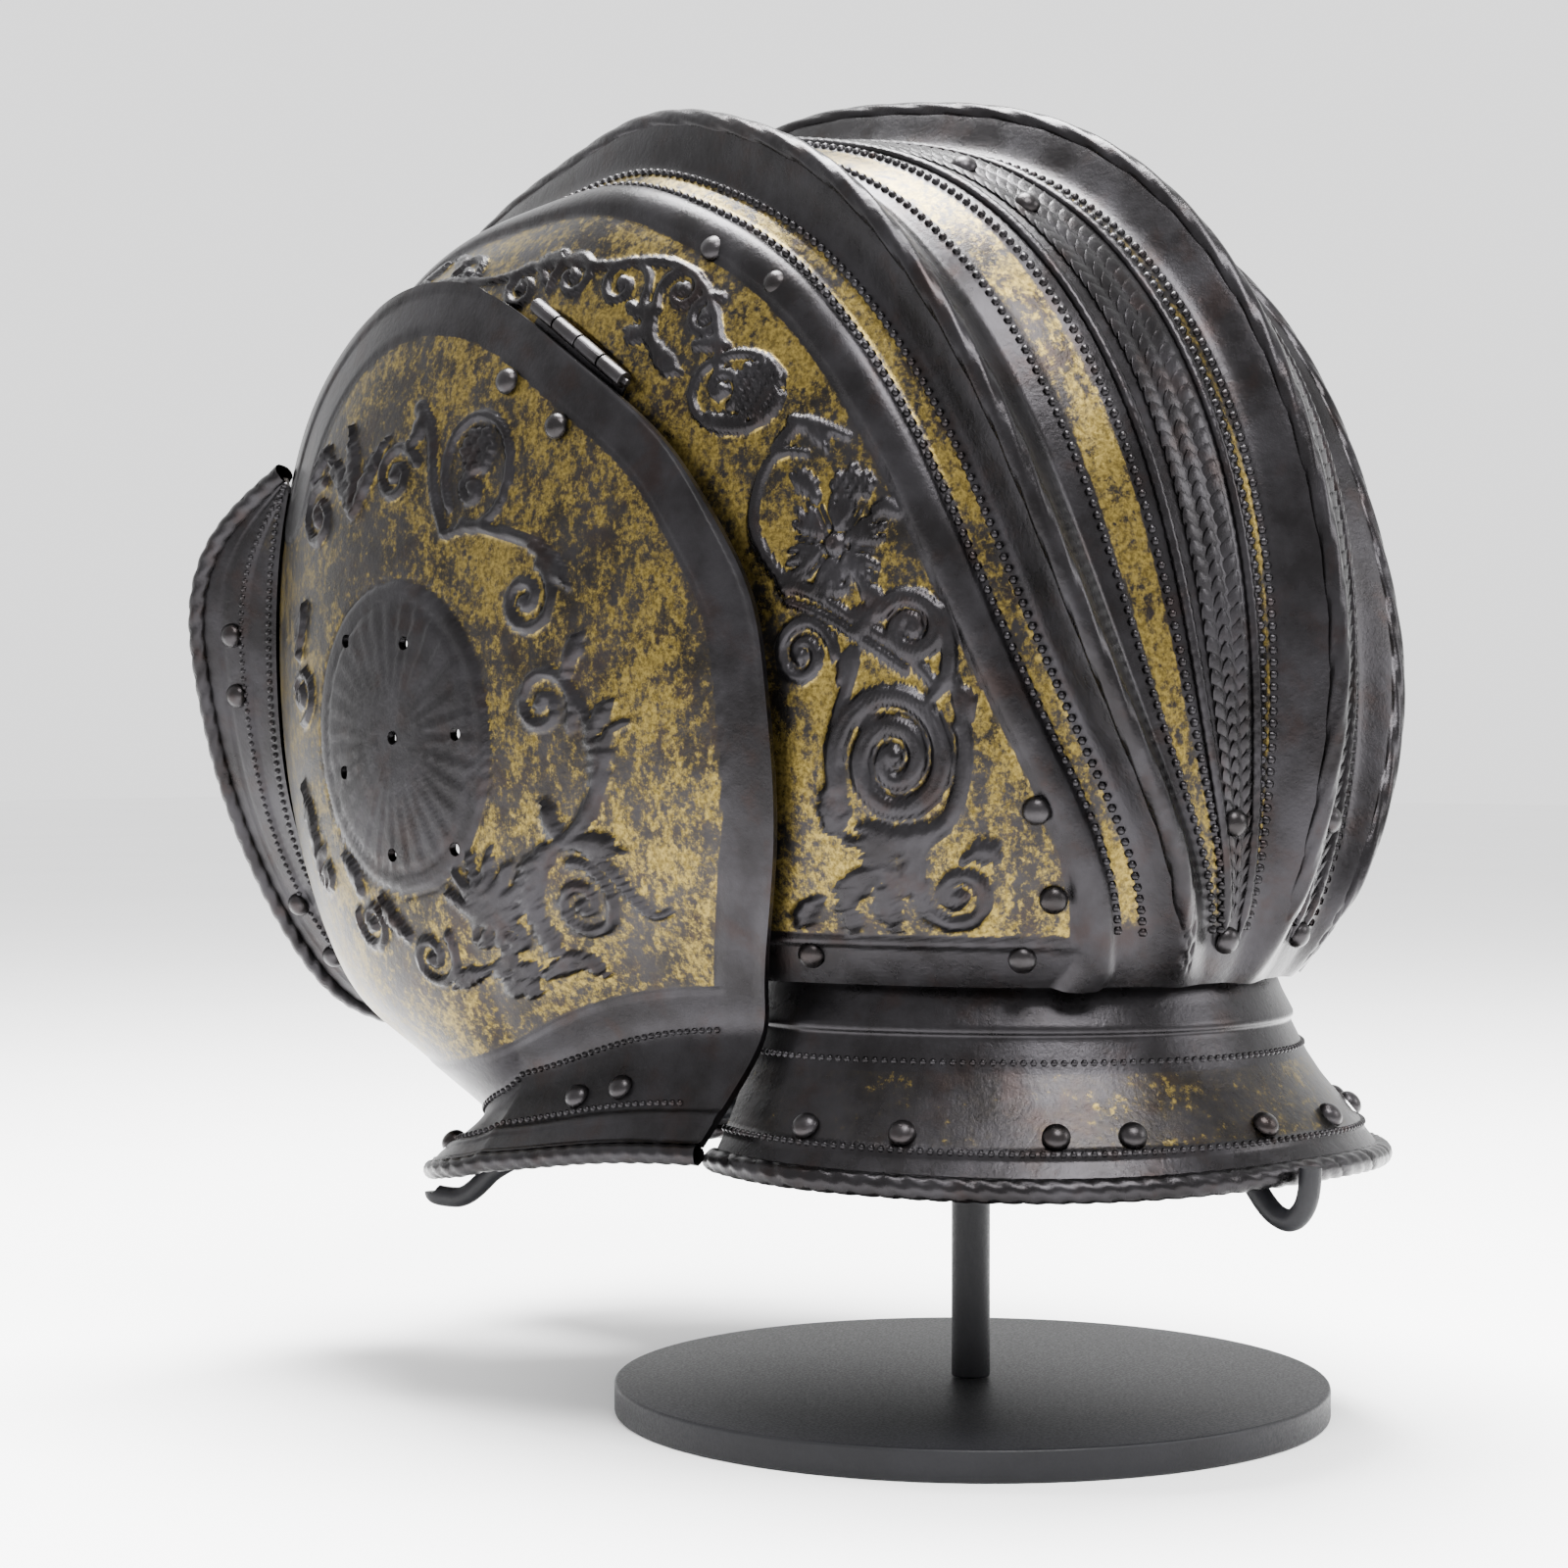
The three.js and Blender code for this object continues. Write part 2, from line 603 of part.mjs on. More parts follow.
/** Leaf fixed on the skull, under the cheek-piece, with knuckles 0 and 2. */
function buildLeaf() {
  const rows = [];
  for (let i = 0; i <= 6; i++) {
    const t = lerp(0.02, 0.98, i / 6);
    const outer = [];
    const inner = [];
    for (let j = 0; j <= 2; j++) {
      const [y, z] = belowHinge(t, lerp(0.4, LEAF_DROP, j / 2));
      outer.push(skullAt(y, z, 0.35 + LEAF_THICK));
      inner.push(skullAt(y, z, 0.35));
    }
    rows.push([outer, inner]);
  }
  let solid = toManifold(plateGeometry(rows.map((r) => r[0]), rows.map((r) => r[1])));
  [1, 3].forEach((i) => {
    solid = solid.subtract(barrel(i, KNUCKLE_RADIUS + 0.35, -0.01));
  });
  [0, 2].forEach((i) => {
    solid = solid.add(barrel(i, KNUCKLE_RADIUS, 0.008));
  });
  return fromManifold(solid.subtract(pinHole()).simplify(0.01));
}

function buildPin() {
  return solidOf(barBetween(onHinge(-0.03).toArray(), onHinge(1.03).toArray(), PIN_RADIUS, 12));
}

function buildCheek() {
  let solid = toManifold(buildCheekDome()).add(toManifold(buildFlange()));
  HOLES.forEach(([dy, dz]) => {
    const [tau, k] = cheekAt(ROSETTE[0] + dy, ROSETTE[1] + dz);
    const p = cheekPoint(tau, k);
    const n = cheekNormal(tau, k);
    const bar = barBetween(
      p.clone().addScaledVector(n, 6).toArray(),
      p.clone().addScaledVector(n, -6).toArray(),
      HOLE_RADIUS,
      10,
    );
    solid = solid.subtract(toManifold(bar));
  });
  // seat for the whole barrel, then the two knuckles of this side with their webs
  for (let i = 0; i < KNUCKLES; i++) {
    solid = solid.subtract(barrel(i, KNUCKLE_RADIUS + 0.35, -0.01));
  }
  [1, 3].forEach((i) => {
    const foot = [i / KNUCKLES + 0.012, (i + 1) / KNUCKLES - 0.012].map((t) => {
      const [y, z] = belowHinge(t, 5.5);
      const [tau, k] = cheekAt(y, z);
      return cheekPoint(tau, k).addScaledVector(cheekNormal(tau, k), -CHEEK_WALL / 2);
    });
    solid = solid.add(web(i, 0.012, foot[0], foot[1], 1.2)).add(barrel(i, KNUCKLE_RADIUS, 0.008));
  });
  return fromManifold(solid.subtract(pinHole()).simplify(FINENESS));
}

// ---------------------------------------------------------------- rivets
/** Round head resting just off a surface point. */
function rivetAt(point, normal) {
  const r = RIVET_RADIUS;
  const h = RIVET_HEIGHT;
  const profile = [[0, 0], [r, 0], [r * 0.82, h * 0.66], [0, h]];
  const g = new THREE.LatheGeometry(profile.map((p) => new THREE.Vector2(p[0], p[1])), 8);
  g.applyQuaternion(new THREE.Quaternion().setFromUnitVectors(new THREE.Vector3(0, 1, 0), normal));
  const at = point.clone().addScaledVector(normal, RIVET_GAP);
  g.translate(at.x, at.y, at.z);
  return solidOf(g);
}

function guardSurface(angle, f) {
  const i = Math.min(Math.floor(f), GUARD_ROWS.length - 2);
  return guardPoint(GUARD_ROWS[i], angle).lerp(guardPoint(GUARD_ROWS[i + 1], angle), f - i);
}

/** Left-hand rivets: [name, geometry]. */
function leftRivets() {
  const list = [];
  SKULL_RIVETS.forEach(([th, psi], i) => {
    list.push([`rivet_skull_${i + 1}`, rivetAt(skullPoint(th, psi), skullNormal(th, psi))]);
  });
  GUARD_RIVETS.forEach((angle, i) => {
    const n = surfaceNormal(guardSurface, angle, 7.1, 1);
    list.push([`rivet_guard_${i + 1}`, rivetAt(guardSurface(angle, 7.1), n)]);
  });
  CHEEK_RIVETS.forEach(([y, z], i) => {
    const [tau, k] = cheekAt(y, z);
    list.push([`rivet_cheek_${i + 1}`, rivetAt(cheekPoint(tau, k), cheekNormal(tau, k))]);
  });
  FLANGE_RIVETS.forEach((t, i) => {
    const root = flangeRoot(t);
    const edge = vec(flangeEdge(t));
    const next = vec(flangeEdge(t + 0.02)).sub(edge);
    const n = edge.clone().sub(root).cross(next).normalize();
    if (n.x < 0) n.negate();
    list.push([`rivet_flange_${i + 1}`, rivetAt(root.lerp(edge, 0.55).addScaledVector(n, CHEEK_WALL / 2 + 0.1), n)]);
  });
  return list;
}

// ---------------------------------------------------------------- stand
function buildDisc() {
  const r = DISC_RADIUS;
  const c = DISC_CHAMFER;
  const h = DISC_THICKNESS;
  const profile = [[0, 0], [r - c, 0], [r, c], [r, h - c], [r - c, h], [0, h]];
  const g = new THREE.LatheGeometry(profile.map((p) => new THREE.Vector2(p[0], p[1])), 56);
  g.rotateX(Math.PI / 2);
  return solidOf(g);
}

/** Arm from the post to a hook that turns up round the rim at a point. */
function armTo(rim, away, hook) {
  const out = vec(away).normalize();
  const r = HOOK_RADIUS;
  const place = (a, b) => vec(rim).addScaledVector(out, a).add(new THREE.Vector3(0, 0, b)).toArray();
  const top = [out.x * 3, out.y * 3, POST_TOP - 6];
  const d = hook.drop;
  const points = [top, place(-36, 10), place(-r - 5, -1), place(-r, -d + 4.5), place(-r * 0.35, -d + 0.3),
    place(r * 0.35, -d + 0.3), place(r, -d + Math.min(5, hook.tip))];
  if (hook.tip > 6) points.push(place(r, -d + hook.tip));
  return toManifold(bentRod(points, ROD_RADIUS, 18, 4));
}

function buildCradle() {
  const post = barBetween([0, 0, DISC_THICKNESS + 0.3], [0, 0, POST_TOP], POST_RADIUS, 20);
  let solid = toManifold(post);
  const rear = guardPoint(GUARD_RIM, REAR_HOOK_ANGLE);
  solid = solid.add(armTo(rear.toArray(), [rear.x * 0.35, rear.y - GUARD_Y, 0], REAR_HOOK));
  [1, -1].forEach((side) => {
    const rim = cheekPoint(FRONT_HOOK_TAU, 0);
    const across = cheekPoint(FRONT_HOOK_TAU + 1, 0).sub(cheekPoint(FRONT_HOOK_TAU - 1, 0));
    const away = [side * -across.y, side * side * across.x, 0];
    const place = [side * rim.x, rim.y, rim.z - 1];
    solid = solid.add(armTo(place, [side * Math.abs(away[0]), -Math.abs(away[1]), 0], FRONT_HOOK));
  });
  return fromManifold(solid);
}

// ---------------------------------------------------------------- assembly
const STEEL = { color: 0x3a3634, roughness: 0.42, metalness: 0.9 };
const DARK_STEEL = { color: 0x2b2929, roughness: 0.4, metalness: 0.9 };
const PAINT = { color: 0x17181a, roughness: 0.55, metalness: 0.1 };

const group = new THREE.Group();
function add(name, geometry, look) {
  const flat = geometry.index ? geometry.toNonIndexed() : geometry;
  flat.computeVertexNormals();
  const mesh = new THREE.Mesh(flat, new THREE.MeshStandardMaterial(look));
  mesh.name = name;
  group.add(mesh);
}

const seat = toManifold(barBetween(onHinge(-0.02).toArray(), onHinge(1.02).toArray(), KNUCKLE_RADIUS + 0.35, 14));
const seats = fromManifold(seat);
const skull = toManifold(buildSkull()).subtract(seat).subtract(toManifold(mirrored(seats)));
add('skull', fromManifold(skull.simplify(FINENESS)), STEEL);
add('neck_guard', buildGuard(), STEEL);

const cheek = buildCheek();
const leaf = buildLeaf();
const pin = buildPin();
add('cheek_left', cheek, STEEL);
add('cheek_right', mirrored(cheek), STEEL);
add('hinge_leaf_left', leaf, DARK_STEEL);
add('hinge_leaf_right', mirrored(leaf), DARK_STEEL);
add('hinge_pin_left', pin, DARK_STEEL);
add('hinge_pin_right', mirrored(pin), DARK_STEEL);
leftRivets().forEach(([name, geometry]) => {
  add(`${name}_left`, geometry, DARK_STEEL);
  add(`${name}_right`, mirrored(geometry), DARK_STEEL);
});
add('stand_disc', buildDisc(), PAINT);
add('stand_cradle', buildCradle(), PAINT);

export default group;
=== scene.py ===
"""Looks of the burgonet helmet on its stand. Lengths in the tables are millimetres."""

import math

import bpy
import numpy as np
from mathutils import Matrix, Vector


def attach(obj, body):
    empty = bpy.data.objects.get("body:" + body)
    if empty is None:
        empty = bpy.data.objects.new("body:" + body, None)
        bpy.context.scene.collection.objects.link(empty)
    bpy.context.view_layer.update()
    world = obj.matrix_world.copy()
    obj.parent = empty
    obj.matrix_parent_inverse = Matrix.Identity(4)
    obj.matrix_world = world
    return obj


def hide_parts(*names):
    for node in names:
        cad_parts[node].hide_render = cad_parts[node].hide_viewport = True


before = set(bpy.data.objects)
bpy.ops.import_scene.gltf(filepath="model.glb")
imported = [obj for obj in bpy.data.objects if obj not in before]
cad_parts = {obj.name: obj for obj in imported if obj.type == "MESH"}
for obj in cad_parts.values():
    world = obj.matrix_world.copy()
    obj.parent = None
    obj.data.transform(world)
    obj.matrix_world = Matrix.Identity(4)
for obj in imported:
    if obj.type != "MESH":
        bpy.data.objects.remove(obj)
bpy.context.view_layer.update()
MM = 0.001
UP = np.array([0.0, 0.0, 1.0])

# ---- the plates' dimensions
SKULL_Y, SKULL_Z, SKULL_X = -45, 205, 100
SEAM_Z, BROW_Z = 115, 243
SKULL_WALL, CHEEK_WALL, GUARD_WALL = 1.8, 1.6, 1.6
INNER_STEP = 4  # the inside sheets take every fourth row and column
FINE = 0.96  # 1 is the full mesh
BEAD_SIDES, BEAD_RINGS = 6, 2
FLANGE_HALF = 0.8
RIVET_RADIUS, RIVET_FLATNESS = 3.4, 0.78
KNUCKLE_RADIUS, PIN_RADIUS = 2.1, 0.9
DISC_RADIUS, DISC_HEIGHT = 92.5, 8
POST_RADIUS, POST_TOP, ARM_RADIUS, ARM_HEIGHT = 5, 92, 2.7, 86
REAR_HOOK = {"drop": 11, "tip": 13}
FRONT_HOOK = {"drop": 9.2, "tip": 1.2}
REAR_HOOK_ANGLE, FRONT_HOOK_TAU = 9.0, 51.0


# ---- small maths
def spline(xs, ys):
    """Natural cubic spline, held at its end values outside."""
    xs, ys = np.array(xs, float), np.array(ys, float)
    n = len(xs)
    a, r = np.eye(n), np.zeros(n)
    for i in range(1, n - 1):
        h0, h1 = xs[i] - xs[i - 1], xs[i + 1] - xs[i]
        a[i, i - 1:i + 2] = h0, 2 * (h0 + h1), h1
        r[i] = 6 * ((ys[i + 1] - ys[i]) / h1 - (ys[i] - ys[i - 1]) / h0)
    m = np.linalg.solve(a, r)

    def f(x):
        t = np.clip(x, xs[0], xs[-1])
        i = np.clip(np.searchsorted(xs, t, side="right") - 1, 0, n - 2)
        h = xs[i + 1] - xs[i]
        p, q = (xs[i + 1] - t) / h, (t - xs[i]) / h
        return p * ys[i] + q * ys[i + 1] + ((p**3 - p) * m[i] + (q**3 - q) * m[i + 1]) * h * h / 6
    return f


def path_through(points):
    """Curve through points, by arc length 0..1."""
    p = np.array(points, float)
    at = np.concatenate([[0], np.cumsum(np.linalg.norm(np.diff(p, axis=0), axis=1))])
    parts = [spline(at / at[-1], p[:, j]) for j in range(p.shape[1])]
    return lambda t: np.stack([f(t) for f in parts], axis=-1)


def bisect(f, lo, hi):
    """Roots of f, one for each element, between the arrays lo and hi."""
    lo, hi = np.array(lo, float), np.array(hi, float)
    first = f(lo)
    for _ in range(36):
        mid = (lo + hi) / 2
        same = f(mid) * first > 0
        lo, hi = np.where(same, mid, lo), np.where(same, hi, mid)
    return (lo + hi) / 2


def superellipse(angle, n):
    s, c = np.sin(np.radians(angle)), np.cos(np.radians(angle))
    q = (np.abs(s)**n + np.abs(c)**n) ** (-1 / n)
    return c * q, s * q


def unit(v):
    return v / np.maximum(np.linalg.norm(v, axis=-1, keepdims=True), 1e-9)


def normal_of(f, u, v, side, e=0.3):
    return unit(np.cross(f(u + e, v) - f(u - e, v), f(u, v + e) - f(u, v - e))) * side


def smooth(lo, hi, x):
    t = np.clip((x - lo) / (hi - lo), 0, 1)
    return t * t * (3 - 2 * t)


def band(x, lo, hi, soft=0.4):
    return smooth(lo - soft, lo + soft, x) * (1 - smooth(hi - soft, hi + soft, x))


def bump_round(d, w, h):
    """Half-round ridge of half-width w and height h at distance d."""
    return h * np.sqrt(np.clip(1 - (d / w)**2, 0, 1))


# ---- surfaces
radius_at = spline([-90, -60, -34.5, -19, 0, 15, 30, 46, 60, 78, 97, 107, 115, 124, 132, 141, 150, 165, 180],
                   [128, 140, 158, 151, 144, 141.5, 139.5, 136, 131, 125, 124, 123.5, 125.5, 131, 137, 143,
                    147, 149, 148])
square_at = spline([-90, -40, 0, 45, 90, 120, 140, 165, 180], [2.5, 2.3, 2.2, 2.5, 3.2, 3.6, 3.4, 3.0, 2.9])
comb_height = spline([-36, -30, -20, -8, 10, 35, 60, 80, 100, 118, 140, 170],
                     [0.5, 4, 9, 12.5, 12, 12, 13, 12, 11, 9, 4.5, 2])
comb_x = spline([-36, -25, -16, 0, 20, 45, 70, 95, 120, 145, 170],
                [25, 37, 48, 60, 66.5, 69, 65, 57, 47, 38, 31])
edge_radius = spline([-90, -70, -50, -30, 0, 45, 90, 115, 135, 150, 168],
                     [90, 78, 62, 50, 44, 40, 42, 62, 88, 108, 132])


def skull_point(th, psi):
    c, s = superellipse(psi, square_at(th))
    r = radius_at(th) * c
    return np.stack(np.broadcast_arrays(SKULL_X * s, SKULL_Y + r * np.cos(np.radians(th)),
                                        SKULL_Z + r * np.sin(np.radians(th))), axis=-1)


def skull_normal(th, psi):
    return normal_of(skull_point, th, psi, 1)


def fan_at_x(th, x):
    n, s = square_at(th), np.minimum(x / SKULL_X, 0.999)
    return np.degrees(np.arctan2(s, (1 - s**n) ** (1 / n)))


def fan_at_radius(th, r):
    n, c = square_at(th), np.minimum(r / radius_at(th), 0.999)
    return np.degrees(np.arctan2((1 - c**n) ** (1 / n), c))


def comb_lines(th):
    """Fan angle of the side comb, mm a degree beside it, mm a degree at the median, half base."""
    fan = fan_at_x(th, comb_x(th))
    grade = np.linalg.norm(skull_point(th, fan + 1) - skull_point(th, fan), axis=-1)
    grade0 = np.linalg.norm(skull_point(th, fan * 0 + 1) - skull_point(th, fan * 0 + 0.01), axis=-1)
    return fan, grade, grade0, np.minimum(10, fan * grade / 2.4)


def between_combs(th, u):
    """Fan angle at a fraction u of the way from the foot of the central comb to that of the side comb."""
    base = comb_lines(th)[3]
    return fan_at_x(th, base + u * (comb_x(th) - 2 * base))


def beside_comb(th, d):
    fan, grade, _, _ = comb_lines(th)
    return fan + d / grade


LEVEL = list(range(13))
dome_a = spline(LEVEL, [99, 96.5, 89, 84, 88, 96, 103, 108, 109.5, 108.5, 106, 102, 95])
dome_b = spline(LEVEL, [54, 52, 47, 43, 54, 79, 104, 124, 131, 132, 129, 121, 104])
z_side = spline(LEVEL, [76, 80, 92, 104, 115, 130, 146, 170, 195, 220, 245, 268, 292])
z_front = spline(LEVEL, [60, 63, 66, 70, 77, 90, 108, 148, 188, 220, 245, 268, 292])
lean = spline([-40, -25, -12, -2, 15, 45, 90], [0, 0.05, 0.17, 0.45, 0.68, 0.93, 1])
top_edge = path_through([
    [-163, 240], [-156, 256], [-145, 271], [-130, 283], [-110, 290], [-92, 290.5], [-75, 286.5], [-60, 279],
    [-42, 267.5], [-25, 256], [-12, 245], [3, 225]])
rear_edge = path_through([[3, 225], [12, 209], [16.5, 185], [17, 163], [13, 140], [5, 121], [-1, 105],
                          [-4.5, 92], [-9, 76]])
FRONT_LEVEL = [4.6, 5.2, 5.8, 6.4, 7, 8, 9, 9.8]
front_x = spline(FRONT_LEVEL, [2, 16, 36, 54, 69, 79.5, 83, 85])
flange_edge = path_through([
    [14, -197, 91], [24, -199, 94], [39, -200, 101], [53, -202, 116], [66, -205, 139], [76, -207, 164],
    [83, -207, 189], [87.5, -204, 212], [88, -197, 226], [87, -185, 237], [86, -170, 246]])


def cheek_point(tau, k):
    c, s = superellipse(tau, 2.35)
    reach = np.where(tau < 0, 190, dome_b(k))
    w = lean(tau)
    return np.stack(np.broadcast_arrays(dome_a(k) * c, -80 - reach * s, z_side(k) * (1 - w) + z_front(k) * w),
                    axis=-1)


def cheek_normal(tau, k):
    return normal_of(cheek_point, tau, k, -1)


def cheek_at(y, z):
    """Section angle and level seen at (y, z) from the side."""
    y, z = np.array(y, float), np.array(z, float)
    tau, k = y * 0, y * 0 + 6
    for _ in range(10):
        level = k
        tau = bisect(lambda a: cheek_point(a, level)[..., 1] - y, y * 0 - 60, y * 0 + 80)
        angle = tau
        k = bisect(lambda v: cheek_point(angle, v)[..., 2] - z, y * 0, y * 0 + 12.5)
    return tau, k


def front_angle(k):
    k = np.array(k, float)
    found = bisect(lambda a: cheek_point(a, k)[..., 0] - front_x(k), k * 0 + 20, k * 0 + 89.5)
    return np.where(k <= FRONT_LEVEL[0], 89, found)


def cheek_chart(s, t):
    """Dome places for columns s (0 rear, 1 front) and rows t (0 rim, 1 top edge)."""
    rear = rear_edge(1 - t)
    rt, rk = cheek_at(rear[:, 0], rear[:, 1])
    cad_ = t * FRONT_LEVEL[-1]
    ft = front_angle(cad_)
    top = top_edge(1 - s)
    tt, tk = cheek_at(top[:, 0], top[:, 1])
    (ct0, ct1), (ck0, ck1) = cheek_at([3, -163], [225, 240])
    w = (t * t)[None, :]
    s2 = s[:, None]
    tau = rt[None, :] * (1 - s2) + ft[None, :] * s2 + w * (tt - (ct0 * (1 - s) + ct1 * s))[:, None]
    k = rk[None, :] * (1 - s2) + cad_[None, :] * s2 + w * (tk - (ck0 * (1 - s) + ck1 * s))[:, None]
    return tau, k


GUARD_ROWS = np.array([
    [75.8, 103.6, 121], [74.6, 103, 115], [76.4, 104.8, 110.5], [79, 107.6, 105.2], [78.2, 107, 103],
    [80.5, 110.2, 97], [84.5, 115.5, 90], [90, 122.5, 82.5], [93.2, 126, 78.6], [93.6, 126.5, 77.2],
    [96.4, 129, 74]])
GUARD_RIM = np.array([98, 130, 71.4])


def guard_place(a, b, z, angle):
    c, s = superellipse(angle, 2.1)
    dip = np.clip((95 - z) / 28, 0, 1) * 2.4 * np.sin(np.radians(np.abs(angle) * 2))**2
    tuck = 1 - 0.13 * np.clip((np.abs(angle) - 66) / 20, 0, 1)**2
    return np.stack(np.broadcast_arrays(a * s * tuck, -22 + b * c, z - dip), axis=-1)


def guard_point(angle, f):
    i = np.clip(np.floor(f).astype(int), 0, len(GUARD_ROWS) - 2)
    w = (f - i)[..., None]
    row = GUARD_ROWS[i] * (1 - w) + GUARD_ROWS[i + 1] * w
    return guard_place(row[..., 0], row[..., 1], row[..., 2], angle)


# ---- meshes
def make_mesh(name, verts, quads, gold):
    """Object from vertices in mm and four-cornered faces (a repeated last corner makes a triangle)."""
    verts, quads = np.asarray(verts, np.float32), np.asarray(quads, np.int32)
    me = bpy.data.meshes.new(name)
    tri = quads[:, 2] == quads[:, 3]
    loops = np.concatenate([quads[~tri].ravel(), quads[tri][:, :3].ravel()])
    totals = np.concatenate([np.full((~tri).sum(), 4), np.full(tri.sum(), 3)])
    starts = np.concatenate([[0], np.cumsum(totals)[:-1]])
    me.vertices.add(len(verts))
    me.vertices.foreach_set("co", (verts * MM).ravel())
    me.loops.add(len(loops))
    me.loops.foreach_set("vertex_index", loops.astype(np.int32))
    me.polygons.add(len(totals))
    me.polygons.foreach_set("loop_start", starts.astype(np.int32))
    me.polygons.foreach_set("use_smooth", np.full(len(totals), True))
    layer = me.attributes.new("gold", "FLOAT", "POINT")
    layer.data.foreach_set("value", np.asarray(gold, np.float32))
    me.update(calc_edges=True)
    me.validate()
    obj = bpy.data.objects.new(name, me)
    bpy.context.collection.objects.link(obj)
    return obj


def grid_quads(n, m, start=0, flip=False, keep=None):
    i, j = np.meshgrid(np.arange(n - 1), np.arange(m - 1), indexing="ij")
    a = start + i * m + j
    q = np.stack([a, a + m, a + m + 1, a + 1], axis=-1)
    if keep is not None:
        q = q[keep]
    q = q.reshape(-1, 4)
    return q[:, ::-1] if flip else q


class Build:
    """Collects grids into one mesh."""

    def __init__(self):
        self.v, self.q, self.g, self.count = [], [], [], 0

    def grid(self, pts, gold=None, flip=False, keep=None):
        n, m = pts.shape[:2]
        self.v.append(pts.reshape(-1, 3))
        self.g.append(np.zeros(n * m) if gold is None else gold.ravel())
        self.q.append(grid_quads(n, m, self.count, flip, keep))
        self.count += n * m

    def done(self, name, mirror=False):
        v = np.concatenate(self.v)
        q = np.concatenate(self.q)
        if mirror:
            v = v * [-1, 1, 1]
            q = q[:, ::-1]
            # keep a triangle's repeated corner last
            tri = q[:, 0] == q[:, 1]
            q = np.where(tri[:, None], np.roll(q, -1, axis=1), q)
        return make_mesh(name, v, q, np.concatenate(self.g))


def plate(outer, inner, coarse, gold, flip, keep=None, keep_inner=None):
    """Plate with a fine outer sheet, a coarser inner sheet and four edge strips."""
    b = Build()
    b.grid(outer, gold, flip, keep)
    b.grid(coarse, None, not flip, keep_inner)
    for o, i, turn in ((outer[0], inner[0], False), (outer[-1], inner[-1], True),
                       (outer[:, 0], inner[:, 0], True), (outer[:, -1], inner[:, -1], False)):
        b.grid(np.stack([o, i]), None, flip == turn)
    return b


def both_sides(name, b, finish):
    """The left-hand piece and its mirror image."""
    for side, mirror in (("left", False), ("right", True)):
        finish(b.done(f"{name}_{side}", mirror), side)


def rope(path, lift, radius, pitch, strands, around=14, depth=0.2):
    """Twisted cord grid along path (n, 3); lift (n, 3) is any direction roughly across it."""
    seg = np.linalg.norm(np.diff(path, axis=0), axis=1)
    s = np.concatenate([[0], np.cumsum(seg)])
    n = max(int(s[-1] / 1.0 * FINE), 8)
    at = np.linspace(0, s[-1], n)
    p = np.stack([np.interp(at, s, path[:, j]) for j in range(3)], axis=-1)
    up = np.stack([np.interp(at, s, lift[:, j]) for j in range(3)], axis=-1)
    r = np.interp(at, s, np.broadcast_to(radius, s.shape))
    along = unit(np.gradient(p, axis=0))
    up = unit(up - along * np.sum(up * along, axis=1, keepdims=True))
    side = np.cross(along, up)
    phi = np.linspace(0, 2 * np.pi, around + 1)
    phase = strands * phi[None, :] + 2 * np.pi * at[:, None] / pitch
    swell = (1 - depth) + depth * 1.25 * np.sqrt(np.abs(np.sin(phase / 2)))
    rr = r[:, None] * swell
    out = up[:, None] * np.sin(phi)[:, None] + side[:, None] * np.cos(phi)[:, None]
    return p[:, None] + out * rr[..., None]


def bead_heads(points, normals, radius, height):
    """Round heads standing on a surface, as one vertex and face list."""
    n = unit(normals)
    e1 = unit(np.cross(n, UP + n[..., [1, 2, 0]] * 0.01))
    e2 = np.cross(n, e1)
    a = np.arange(BEAD_SIDES) * 2 * np.pi / BEAD_SIDES
    verts, quads = [], []
    top = BEAD_SIDES * BEAD_RINGS
    for level in range(BEAD_RINGS):
        t = level / BEAD_RINGS * np.pi / 2
        rr, hh = radius * np.cos(t), height * np.sin(t) - 0.15 * (level == 0)
        verts.append(points[:, None] + (e1[:, None] * np.cos(a)[None, :, None]
                     + e2[:, None] * np.sin(a)[None, :, None]) * rr + n[:, None] * hh)
    verts.append((points + n * height)[:, None])
    for level in range(BEAD_RINGS):
        low = level * BEAD_SIDES
        for j in range(BEAD_SIDES):
            k = (j + 1) % BEAD_SIDES
            if level == BEAD_RINGS - 1:
                quads.append([low + j, low + k, top, top])
            else:
                quads.append([low + j, low + k, low + BEAD_SIDES + k, low + BEAD_SIDES + j])
    q = np.array(quads)[None] + (np.arange(len(points)) * (top + 1))[:, None, None]
    return np.concatenate(verts, axis=1).reshape(-1, 3), q.reshape(-1, 4)


def beads(b, path, normals, pitch, radius, height):
    """A line of beads, one every pitch mm along a path."""
    s = np.concatenate([[0], np.cumsum(np.linalg.norm(np.diff(path, axis=0), axis=1))])
    at = np.arange(pitch / 2, s[-1], pitch)
    places, n = (np.stack([np.interp(at, s, line[:, j]) for j in range(3)], axis=-1)
                 for line in (path, normals))
    v, q = bead_heads(places, unit(n), radius, height)
    b.v.append(v)
    b.q.append(q + b.count)
    b.g.append(np.zeros(len(v)))
    b.count += len(v)


